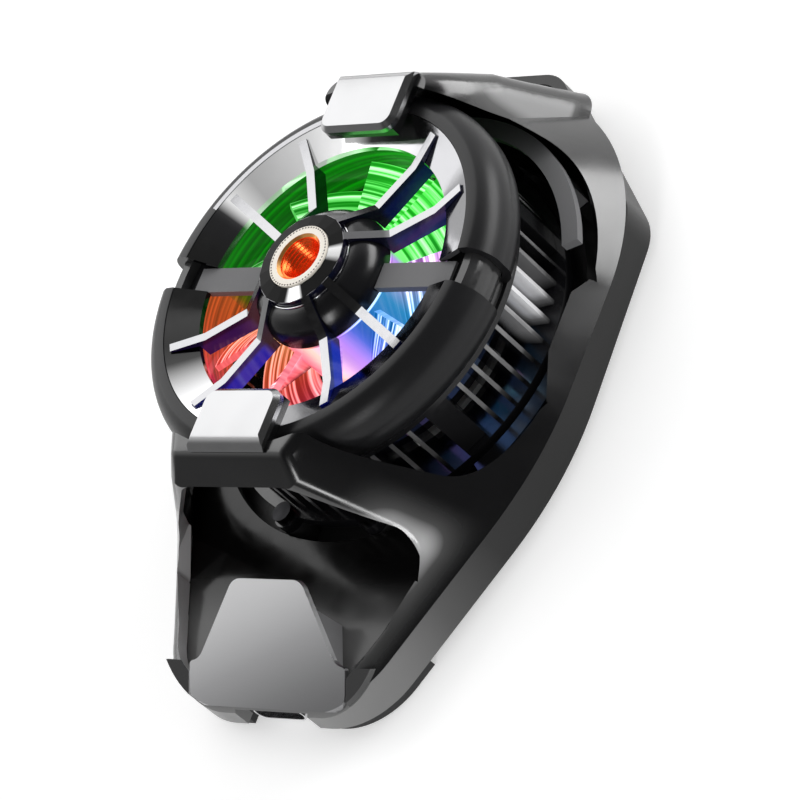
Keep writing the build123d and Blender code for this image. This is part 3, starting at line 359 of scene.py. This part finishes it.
def polar(tree):
    """Radius from the fan's axis, turn about it from 0 to 1 with a half at plus X, and height."""
    spot = told(tree, "Object")
    x, y, z = split(tree, spot)
    radius = calc(tree, "SQRT", calc(tree, "ADD", times(tree, x, x), times(tree, y, y)))
    turn = tree.nodes.new("ShaderNodeTexGradient")
    turn.gradient_type = "RADIAL"
    feed(tree, turn.inputs["Vector"], spot)
    return radius, turn.outputs["Fac"], z


def round_the_fan(tree, stops):
    """Colour that goes round the fan's axis: a ramp over the angle, with stops in degrees."""
    return ramp_of(tree, polar(tree)[1], sorted((turn_of(degrees), colour) for degrees, colour in stops))


fin_tip = 0.0261
glint_edge_width = 0.00012
flash_out_from = 0.0222
flash_out_to = 0.0245
flash_up_from = 0.0080
flash_up_to = 0.0120
coated = grain(finish("fin_coating", (0.010, 0.010, 0.011), 0.16, 0.0, Specular_IOR_Level=0.6),
               800, 0.05, 0.000002)
tree = coated.node_tree
out_at, turn_at, height_at = polar(tree)
upward = calc(tree, "ABSOLUTE", along(tree, told(tree, "Normal"), (0, 0, 1)))
raised = times(tree, between(tree, height_at, flash_up_from, flash_up_to),
               calc(tree, "LESS_THAN", upward, 0.5))
# Painted highlights: bright faces with a faint glow on one arc, and lighter outer edges.
painted_arc = times(tree, between(tree, turn_at, turn_of(-7.2), turn_of(5.4)),
            between(tree, turn_at, turn_of(10.8), turn_of(25.2), 1.0, 0.0))
painted_flash = times(tree, painted_arc, raised, between(tree, out_at, flash_out_from, flash_out_to))
painted_edge_glint = times(tree, calc(tree, "GREATER_THAN", out_at, fin_tip - glint_edge_width), raised)
paint(coated, "Base Color", tones(tree, calc(tree, "MAXIMUM", painted_flash, times(tree, painted_edge_glint, 0.6)),
                                  (0.006, 0.006, 0.007), (0.06, 0.06, 0.06), (0.75, 0.75, 0.76)))
paint(coated, "Emission Color", (0.9, 0.9, 0.92, 1))
paint(coated, "Emission Strength", times(tree, painted_flash, 0.15))
dress("heat_sink", coated)

# Light board. A white board carries a ring of light chips, under a milky diffuser that glows in
# the colours of the chips, one after the other round the fan.
white_mask = grain(finish("white_board", (0.78, 0.78, 0.76), 0.4), 600, 0.05, 0)
dress("light_board", white_mask)
chip_resin = grain(finish("chip_resin", (0.86, 0.82, 0.62), 0.3), 900, 0.05, 0)
dress("light_chips", chip_resin)

light_stops = [
    (-179.9, (0.02, 0.30, 0.01)), (-176, (0.80, 0.20, 0.03)), (-160, (0.90, 0.10, 0.01)),
    (-145, (0.85, 0.03, 0.02)), (-128, (0.75, 0.01, 0.05)), (-115, (0.90, 0.03, 0.12)),
    (-98, (0.95, 0.08, 0.14)), (-85, (0.90, 0.16, 0.04)), (-72, (0.60, 0.20, 0.65)),
    (-58, (0.40, 0.08, 0.90)), (-45, (0.02, 0.12, 0.95)), (-25, (0.00, 0.30, 0.95)),
    (-8, (0.02, 0.45, 0.98)), (2, (0.30, 0.50, 0.98)), (9, (0.85, 0.35, 0.85)),
    (24, (0.45, 0.12, 0.90)), (31, (0.01, 0.62, 0.01)), (45, (0.01, 0.95, 0.01)),
    (75, (0.01, 0.90, 0.01)), (105, (0.01, 0.70, 0.01)), (140, (0.01, 0.50, 0.01)),
    (179.9, (0.01, 0.30, 0.01)),
]


def drawn_out(tree, across, turn_at):
    """Noise in fine rings: it runs fast with a distance across them and slowly with the turn."""
    rings_per_metre = 1500
    changes_per_turn = 3
    track = tree.nodes.new("ShaderNodeCombineXYZ")
    feed(tree, track.inputs["X"], times(tree, across, rings_per_metre))
    feed(tree, track.inputs["Y"], times(tree, turn_at, changes_per_turn))
    noise = tree.nodes.new("ShaderNodeTexNoise")
    feed(tree, noise.inputs["Vector"], track.outputs[0])
    feed(tree, noise.inputs["Scale"], 1.0)
    feed(tree, noise.inputs["Detail"], 2.0)
    return noise.outputs["Fac"]


def light_rings(made, level, paleness):
    """Makes a material glow in the chips' colours, drawn out into fine rings, and gives the strength.
    The rings fade on faces that look round the axis, which are the blades' edges. The brightest rings
    go towards white, and more so on the lower right."""
    tree = made.node_tree
    out_at, turn_at, _ = polar(tree)
    circling = tree.nodes.new("ShaderNodeVectorMath")
    circling.operation = "CROSS_PRODUCT"
    feed(tree, circling.inputs[0], (0, 0, 1))
    feed(tree, circling.inputs[1], told(tree, "Object"))
    ahead = calc(tree, "DIVIDE", along(tree, told(tree, "Normal"), circling.outputs[0]), out_at)
    swing = times(tree, calc(tree, "SUBTRACT", drawn_out(tree, out_at, turn_at), 0.5),
                  between(tree, ahead, 0.1, 0.5, 1.0, 0.1))
    ring = between(tree, calc(tree, "ADD", swing, 0.5), 0.30, 0.72)
    to_lower_right = along(tree, told(tree, "Object"), (0.70, -0.71, 0))
    veil = between(tree, to_lower_right, -0.002, 0.010, paleness, paleness * 2)
    mixed = tree.nodes.new("ShaderNodeMix")
    mixed.data_type = "RGBA"
    feed(tree, mixed.inputs["Factor"], times(tree, calc(tree, "POWER", ring, 1.8), veil))
    feed(tree, mixed.inputs["A"], round_the_fan(tree, light_stops))
    feed(tree, mixed.inputs["B"], white)
    paint(made, "Emission Color", mixed.outputs["Result"])
    return times(tree, between(tree, ring, 0.0, 1.0, 0.30, 1.45), level)


bright_middle = 0.0165
bright_middle_end = 0.0190
glow = finish("diffuser_glow", (0.05, 0.05, 0.05), 0.5)
tree = glow.node_tree
strength = light_rings(glow, 1.1, 0.35)
out_at = polar(tree)[0]
from_camera = along(tree, told(tree, "Object"), (-0.87, 0.49, 0))
inside = calc(tree, "MAXIMUM", between(tree, out_at, bright_middle, bright_middle_end, 1.0, 0.0),
              between(tree, from_camera, -0.010, -0.002))
on_top = between(tree, along(tree, told(tree, "Normal"), (0, 0, 1)), 0.5, 0.8)
paint(glow, "Emission Strength", times(tree, strength, inside, on_top))
dress("light_diffuser", glow)

# Fan motor. The bearing tube stands on a black disc. A stack of steel sheets with enamelled copper
# coils sits on it, over a small driver board. The main board in the base has the same green mask.
motor_black = grain(finish("motor_black", (0.018, 0.018, 0.019), 0.45), 2500, 0.06, 0.00001)
dress("fan_seat", motor_black)
sinter = grain(finish("oiled_bronze", (0.45, 0.28, 0.12), 0.35, 1.0), 2500, 0.08, 0.00001)
dress("bearing_bush", sinter)
core_steel = grain(finish("core_sheets", (0.42, 0.43, 0.46), 0.38, 1.0), 700, 0.08, 0.00002, (1, 1, 12))
dress("stator_core", core_steel)
enamel = grain(finish("coil_enamel", (0.62, 0.22, 0.07), 0.28, 0.9), 500, 0.06, 0.0001, (1, 1, 14), 1.0)
dress("stator_coils", enamel)
green_mask = grain(finish("green_board", (0.02, 0.13, 0.05), 0.35), 700, 0.06, 0.00001)
dress("driver_board main_board", green_mask)

# Rotor. Nine twisted blades and their cup are moulded in dark plastic. The light of the chips shows in
# the blades above their feet. The shaft, clip and yoke are bright steel, and the screws that hold the
# base together are blackened.
blade_glow_from = 0.0140
blade_glow_to = 0.0165
bright = grain(finish("bright_steel", (0.62, 0.62, 0.63), 0.2, 1.0), 900, 0.06, 0)
dress("motor_shaft shaft_clip rotor_yoke", bright)
blackened = grain(finish("blackened_screws", (0.02, 0.02, 0.022), 0.35, 1.0), 900, 0.08, 0)
dress("sink_screws case_screws", blackened)
dress("rotor_magnet", nickel)
blades = finish("lit_blades", (0.02, 0.02, 0.03), 0.12)
tree = blades.node_tree
strength = light_rings(blades, 1.35, 0.38)
height_at = polar(tree)[2]
above_feet = between(tree, height_at, blade_glow_from, blade_glow_to)
paint(blades, "Emission Strength", times(tree, strength, above_feet))
dress("impeller", blades)

# Fan housing. One black moulding makes the duct round the rotor, its flange and the four pillars. The
# duct's wall catches the light of the fan: green above, navy at the right and below, and red at the
# left, which turns wine red lower down.
duct_bore = 0.02098
duct = grain(finish("duct_black", (0.012, 0.012, 0.013), 0.22, Specular_IOR_Level=0.3), 1500, 0.05, 0)
tree = duct.node_tree
paint(duct, "Emission Color", round_the_fan(tree, [
    (-179.9, (0.40, 0.06, 0.01)), (-155, (0.42, 0.03, 0.01)), (-138, (0.38, 0.01, 0.04)),
    (-120, (0.22, 0.0, 0.12)), (-100, (0.02, 0.0, 0.12)), (-60, (0.0, 0.005, 0.05)),
    (0, (0.0, 0.01, 0.06)), (25, (0.0, 0.02, 0.03)), (50, (0.0, 0.13, 0.0)),
    (90, (0.0, 0.16, 0.0)), (140, (0.0, 0.14, 0.0)), (172, (0.0, 0.12, 0.0)),
    (177, (0.10, 0.08, 0.0)), (179.9, (0.30, 0.06, 0.01)),
]))
out_at, turn_at, height_at = polar(tree)
streaks = between(tree, drawn_out(tree, height_at, turn_at), 0.35, 0.70, 0.55, 1.7)
paint(duct, "Emission Strength", times(tree, calc(tree, "LESS_THAN", out_at, duct_bore), streaks))
dress("fan_housing", duct)

# Guard ring. An inner carrier is closed over by an upper and a lower cover, both in satin charcoal
# plastic, which stop short of each other at each side. On one arc the upper cover's inner rim carries a
# painted reflection.
reflection_rim_out = 0.0258
reflection_rim_foot = 0.0262
charcoal_tone = (0.012, 0.012, 0.013)
charcoal = grain(finish("ring_charcoal", charcoal_tone, 0.34, Specular_IOR_Level=0.22), 4500, 0.04, 0)
dress("lower_ring_cover", charcoal)
ring_with_reflection = grain(finish("ring_painted_reflection", charcoal_tone, 0.32, Specular_IOR_Level=0.22), 4500, 0.04, 0)
tree = ring_with_reflection.node_tree
out_at, turn_at, height_at = polar(tree)
# Painted reflection: one arc of the upper cover's inner rim is coloured bright and metallic.
painted_arc = times(tree, calc(tree, "GREATER_THAN", turn_at, turn_of(93.6)),
            calc(tree, "LESS_THAN", turn_at, turn_of(156.6)))
rim = times(tree, calc(tree, "LESS_THAN", out_at, reflection_rim_out),
            calc(tree, "GREATER_THAN", height_at, reflection_rim_foot))
painted_rim_reflection = times(tree, painted_arc, rim)
paint(ring_with_reflection, "Base Color", tones(tree, painted_rim_reflection, charcoal_tone, (0.34, 0.34, 0.35)))
paint(ring_with_reflection, "Metallic", painted_rim_reflection)
dress("upper_ring_cover", ring_with_reflection)
carrier = grain(finish("carrier_black", (0.035, 0.035, 0.036), 0.2), 2500, 0.05, 0)
dress("inner_ring", carrier)


# Funnel. Two half cones of plastic are plated mirror bright and lead the air into the duct. Their colour
# round the axis is painted with reflections, dark beside the left arm and bright on two arcs. A pale
# painted glow on the far side stands for the reflection of a card by the camera.
def greys(*stops):
    """Stops for a ramp of plain greys, from pairs of an angle in degrees and a level."""
    return [(degrees, (level, level, level)) for degrees, level in stops]


plating = grain(finish("funnel_plating", (0.80, 0.80, 0.81), 0.10, 1.0), 300, 0.04, 0.000002)
tree = plating.node_tree
# Painted reflections: the plating's colour changes round the axis, and a pale glow is added on the far side.
paint(plating, "Base Color", round_the_fan(tree, [
    (-179.9, (0.05, 0.05, 0.05)), (-152, (0.02, 0.02, 0.02)), (-143, (0.03, 0.03, 0.03)),
    (-138, (0.16, 0.16, 0.16)), (-112, (0.80, 0.80, 0.81)), (-60, (0.20, 0.20, 0.21)),
    (-10, (0.20, 0.20, 0.21)), (15, (0.28, 0.28, 0.29)), (60, (0.34, 0.34, 0.35)),
    (110, (0.80, 0.80, 0.81)), (152, (0.72, 0.72, 0.73)), (158, (0.20, 0.20, 0.21)),
    (168, (0.10, 0.10, 0.10)), (179.9, (0.05, 0.05, 0.05)),
]))
paint(plating, "Emission Color", round_the_fan(tree, greys(
    (-179.9, 0), (92, 0), (100, 0.44), (128, 0.38), (142, 0.30), (152, 0.70), (156, 0), (179.9, 0))))
paint(plating, "Emission Strength", 1.0)
dress("upper_funnel lower_funnel", plating)

# Guard. The spokes' upper faces are bright metal, paler outward of the knee, and their sides are painted
# dark as shade, with a faint glow painted on for blue light from below. The collar between them stays dark.
# Two flat arms hold the dome, in the same grey satin as the liner below the upper arm of the frame.
collar_radius = 0.00685
spoke_knee = 0.0110
spoke_knee_end = 0.0120
shine_from = 0.0112
shine_to = 0.0125
shine_foot = 0.0255
shine_top = 0.0262
spoke = grain(finish("spoke_lit_tops_shaded_sides", (0.006, 0.006, 0.012), 0.2), 900, 0.04, 0)
tree = spoke.node_tree
out_at, _, height_at = polar(tree)
upward = along(tree, told(tree, "Normal"), (0, 0, 1))
# Painted light and shade: upper faces bright metal, sides dark with a painted glow.
bright_tops = times(tree, calc(tree, "GREATER_THAN", upward, 0.45),
               calc(tree, "GREATER_THAN", out_at, collar_radius))
brightness = times(tree, bright_tops, between(tree, out_at, spoke_knee, spoke_knee_end, 0.45, 1.0))
paint(spoke, "Base Color", tones(tree, brightness, (0.004, 0.004, 0.012), (0.18, 0.18, 0.185),
                                 (0.36, 0.36, 0.37)))
paint(spoke, "Metallic", bright_tops)
paint(spoke, "Emission Color", round_the_fan(tree, [
    (-179.9, (0.01, 0.0, 0.03)), (-135, (0.02, 0.005, 0.06)), (-128, (0.0, 0.01, 0.30)),
    (-50, (0.0, 0.01, 0.30)), (-40, (0.0, 0.005, 0.04)), (10, (0.0, 0.003, 0.05)),
    (70, (0.0, 0.002, 0.03)), (90, (0.0, 0.01, 0.0)), (179.9, (0.0, 0.005, 0.0)),
]))
paint(spoke, "Emission Strength", times(tree, calc(tree, "SUBTRACT", 1.0, bright_tops),
                                        between(tree, height_at, shine_foot, shine_top, 1.0, 0.25),
                                        between(tree, out_at, shine_from, shine_to)))
dress("guard_spider", spoke, 20)
arm_satin = grain(finish("arm_satin", (0.15, 0.15, 0.155), 0.5, Specular_IOR_Level=0.3), 5000, 0.05, 0)
dress("right_guard_bar left_guard_bar liner", arm_satin, 20)

# Hub dome. A deep black glossy cap covers the rotor's hub. It is moulded in the same plastic as the
# frame and stands on the two flat arms of the guard.
piano = grain(finish("piano_black", (0.008, 0.008, 0.009), 0.22), 200, 0.03, 0)
dress("hub_dome", piano)


# Collar. A faceted black cone, with painted highlights on two of its facets, leads from the bezel down to
# the dome, and a drawn wire ring closes its foot. Both are pressed on over the guard's collar.
def turned(name, section, around):
    """New piece round the fan's axis. A section of (radius, height) points in metres, or an array with
    a section for each turn, goes round in equal turns t: a point (r, h) comes to (r cos t, r sin t, h).
    A quad joins each four neighbours, and the piece is closed both ways round."""
    turn = np.arange(around) * 2 * np.pi / around
    section = np.broadcast_to(section, (around, *np.shape(section)[-2:]))
    reach, rise = section[..., 0], section[..., 1]
    points = np.stack([reach * np.cos(turn)[:, None], reach * np.sin(turn)[:, None], rise], axis=-1)
    index = np.arange(reach.size).reshape(reach.shape)
    wide = np.concatenate([index, index[:1]])
    full = np.concatenate([wide, wide[:, :1]], axis=1)
    quads = np.stack([full[:-1, :-1], full[1:, :-1], full[1:, 1:], full[:-1, 1:]], axis=-1)
    mesh = bpy.data.meshes.new(name)
    mesh.from_pydata(points.reshape(-1, 3).tolist(), [], quads.reshape(-1, 4).tolist())
    mesh.update()
    piece = bpy.data.objects.new(name, mesh)
    scene.collection.objects.link(piece)
    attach(piece, "housing")
    return piece


def circle_profile(radius, height, thick, count):
    """Round section of a ring, as points of (radius + thick cos t, height + thick sin t) over equal
    turns t. Where the thickness is a column of values, each gives a section of its own."""
    turn = -np.arange(count) * 2 * np.pi / count
    return np.stack([radius + thick * np.cos(turn), height + thick * np.sin(turn)], axis=-1)


bezel_out, _, bezel_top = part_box("nozzle_bezel")[1]
dome_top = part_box("hub_dome")[1][2]
collar_in = bezel_out + 0.00018
collar_out = 0.00692
collar_top = bezel_top - 0.00030
collar_edge = 0.00034
collar_fall = 0.00036
collar_rim = 0.00004
collar_facets = 18
black_level = 0.006
smoked = grain(finish("collar_black_painted_glints", (0.01, 0.01, 0.01), 0.14, 0.0, Specular_IOR_Level=0.04), 400, 0.05, 0)
tree = smoked.node_tree
# Painted highlights: two facets are coloured bright and metallic, and the rest stays black.
facet_highlights = round_the_fan(tree, greys(
    (-179.9, black_level), (-88, black_level), (-80, 0.7), (-68, 0.7), (-62, black_level),
    (-6, black_level), (2, 0.3), (14, 0.4), (20, black_level), (179.9, black_level)))
paint(smoked, "Base Color", facet_highlights)
paint(smoked, "Metallic", calc(tree, "GREATER_THAN", facet_highlights, 0.03))
collar = turned("collar_cone", [
    (collar_in, collar_top),
    (collar_in, collar_top - collar_edge),
    (collar_out, collar_top - collar_fall - collar_rim),
    (collar_out, collar_top - collar_fall),
], collar_facets)
collar.data.materials.append(smoked)

wire_radius = 0.00708
wire_thick = 0.00011
wire_lift = 0.00010
wire_sides = 12
wire_steps = 128
wire_section = circle_profile(wire_radius, dome_top + wire_lift, wire_thick, wire_sides)
wire = turned("collar_wire", wire_section, wire_steps)
drawn_wire = grain(finish("drawn_wire", (0.80, 0.80, 0.81), 0.15, 1.0), 900, 0.04, 0)
wire.data.materials.append(drawn_wire)

# Nozzle. A copper sleeve is tapped with a fine thread, and glows red inside with the light of the fan.
# The thread is one helical groove, laid as a thin lining on the bore.
copper = grain(finish("tapped_copper", (0.90, 0.16, 0.04), 0.25, 1.0), 1500, 0.05, 0)
paint(copper, "Emission Color", (0.95, 0.08, 0.01, 1))
paint(copper, "Emission Strength", 0.14)
dress("nozzle", copper)
nozzle_low, nozzle_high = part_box("nozzle")
nozzle_top = nozzle_high[2]
copper_wall = 0.00075
bore = nozzle_high[0] - copper_wall
thread_pitch = 0.00062
thread_depth = 0.00022
thread_skin = 0.00003
thread_steps = 72
thread_rows = 200
thread_low = nozzle_low[2] + 0.0002
thread_high = nozzle_top - 0.00015
height = np.linspace(thread_low, thread_high, thread_rows)
turn = np.arange(thread_steps) * 2 * np.pi / thread_steps
climb = (height[None, :] / thread_pitch - turn[:, None] / (2 * np.pi)) % 1.0
crest = bore - thread_skin - thread_depth * (1 - np.abs(2 * climb - 1))
reach = np.concatenate([crest[:, ::-1], np.full_like(crest, bore - thread_skin / 2)], axis=1)
rise = np.broadcast_to(np.concatenate([height[::-1], height]), reach.shape)
thread = turned("nozzle_thread", np.stack([reach, rise], axis=-1), thread_steps)
thread.data.materials.append(copper)

# Bezel. A cream ring is moulded over the nozzle's end, with a row of fine beads along its outer edge
# and a gold cone inside its mouth.
ivory = grain(finish("ivory_bezel", (0.95, 0.89, 0.79), 0.35), 1500, 0.05, 0)
dress("nozzle_bezel", ivory)
gold = grain(finish("gold_cone", (1.0, 0.55, 0.20), 0.22, 1.0), 900, 0.05, 0)
# Painted glow: the gold cone glows faintly orange.
paint(gold, "Emission Color", (1.0, 0.35, 0.06, 1))
paint(gold, "Emission Strength", 0.12)
cone_mouth = bore + 0.00041
cone_throat = bore + 0.00003
cone_top = bezel_top - 0.00004
cone_seat = nozzle_top + 0.00001
cone_lip = nozzle_top + 0.00005
cone_steps = 96
cone = turned("bezel_cone", [
    (cone_mouth, cone_top),
    (cone_mouth, cone_seat),
    (cone_throat, cone_seat),
    (cone_throat, cone_lip),
], cone_steps)
cone.data.materials.append(gold)

bead_count = 56
bead_steps = 8 * bead_count
bead_thick = 0.00014
bead_sides = 10
bead_radius = bezel_out - 0.00022
bead_height = bezel_top - 0.00006
turn = np.arange(bead_steps) * 2 * np.pi / bead_steps
swell = np.abs(np.sin(turn * bead_count / 2))
thick = bead_thick * (0.1 + 0.9 * swell ** 2)
bead_sections = circle_profile(bead_radius, bead_height, thick[:, None], bead_sides)
beads = turned("bezel_beads", bead_sections, bead_steps)
pewter = grain(finish("bead_plating", (0.12, 0.10, 0.09), 0.4, 1.0), 1500, 0.05, 0)
beads.data.materials.append(pewter)

# Deck. A floor of black plastic, lacquered glossy, closes the band and runs under the frame up to the
# drum. A painted reflection makes it paler at the plug's end.
deck_reflection_from = 0.0345
deck_reflection_to = 0.0440
deck_gloss = grain(finish("deck_gloss", (0.006, 0.006, 0.007), 0.16, Specular_IOR_Level=0.22), 250, 0.04, 0)
tree = deck_gloss.node_tree
# Painted reflection: the deck's colour gets paler towards the plug's end.
reflection_to_plug = between(tree, along(tree, told(tree, "Object"), (0, -1, 0)), deck_reflection_from, deck_reflection_to)
paint(deck_gloss, "Base Color", tones(tree, reflection_to_plug, (0.003, 0.003, 0.003), (0.10, 0.10, 0.10)))
dress("deck", deck_gloss)

# Front frame. One large moulding in piano black makes the saddle, with soft edges that carry long
# highlights from the studio's boxes. A painted sheen makes it paler beside the window and along the
# upper arm, the cut faces inside the window are coloured pale grey, and the wedge under the tongue is satin
# grey.
window_end = -0.0300
sheen_lower_end = -0.0335
sheen_upper_end = -0.0262
sheen_foot = 0.0072
sheen_full = 0.0128
sheen_fades = 0.0160
sheen_gone = 0.0225
arm_sheen_starts = 0.0265
arm_sheen_full = 0.0320
arm_sheen_foot = 0.0085
arm_sheen_foot_end = 0.0105
arm_sheen_fades = 0.0210
arm_sheen_faint = 0.0270
gloss = grain(finish("frame_gloss", (0.004, 0.004, 0.0045), 0.20, Specular_IOR_Level=0.85),
              160, 0.03, 0.000002)
tree = gloss.node_tree
x, y, z = split(tree, told(tree, "Object"))
facing_x = split(tree, told(tree, "Normal"))[0]
outward = times(tree, x, facing_x)
cut_faces = times(tree, calc(tree, "LESS_THAN", outward, -0.006), calc(tree, "LESS_THAN", y, window_end))
# Painted sheen: paler beside the window and along the upper arm.
sheen_beside_window = times(tree, calc(tree, "GREATER_THAN", outward, 0.004),
                      between(tree, y, sheen_lower_end, sheen_upper_end, 1.0, 0.0),
                      between(tree, z, sheen_foot, sheen_full),
                      between(tree, z, sheen_fades, sheen_gone, 1.0, 0.05))
sheen_on_upper_arm = times(tree, between(tree, facing_x, 0.72, 0.92),
                  between(tree, y, arm_sheen_starts, arm_sheen_full),
                  between(tree, z, arm_sheen_foot, arm_sheen_foot_end),
                  between(tree, z, arm_sheen_fades, arm_sheen_faint, 1.0, 0.35))
at_window = calc(tree, "MAXIMUM", cut_faces, sheen_beside_window)
paleness = calc(tree, "MAXIMUM", at_window, times(tree, sheen_on_upper_arm, 0.75))
paint(gloss, "Base Color", tones(tree, paleness, (0.004, 0.004, 0.0045), (0.08, 0.08, 0.08),
                                 (0.60, 0.60, 0.605)))
dress("front_frame", gloss, 24)
wedge_satin = grain(finish("wedge_satin", (0.20, 0.20, 0.205), 0.4), 900, 0.05, 0)
dress("tongue_base", wedge_satin)

# Tip caps. Two blocks of plastic are plated and polished. They stand on the ends of the frame's arms
# and reach in over the guard ring.
polished = grain(finish("tip_plating", (0.40, 0.40, 0.405), 0.22, 1.0), 200, 0.03, 0)
dress("upper_tip_cap lower_tip_cap", polished)

# Accent plate. A sheet of steel is brushed across and let into the frame's lower end. The light falls
# off along it, from the tongue's tip down to the plug's end.
fall_from = 0.037
fall_to = 0.060
brushed = grain(finish("brushed_sheet", (0.36, 0.36, 0.365), 0.34, 1.0), 500, 0.06, 0.000001, (0.4, 22, 22))
tree = brushed.node_tree
falling = between(tree, along(tree, told(tree, "Object"), (0.35, -1, 0)), fall_from, fall_to)
paint(brushed, "Base Color", tones(tree, falling, (0.95, 0.95, 0.96), (0.54, 0.54, 0.55),
                                   (0.24, 0.24, 0.245)))
dress("accent_plate", brushed)

# Plug socket. A drawn steel shell of the usual size holds a black contact tongue. It lies under the
# main board and opens into the notch in the band's lower end.
shell_steel = grain(finish("drawn_shell", (0.66, 0.66, 0.67), 0.22, 1.0), 900, 0.05, 0, (1, 8, 1))
dress("socket_shell", shell_steel)
dress("socket_tongue", motor_black)
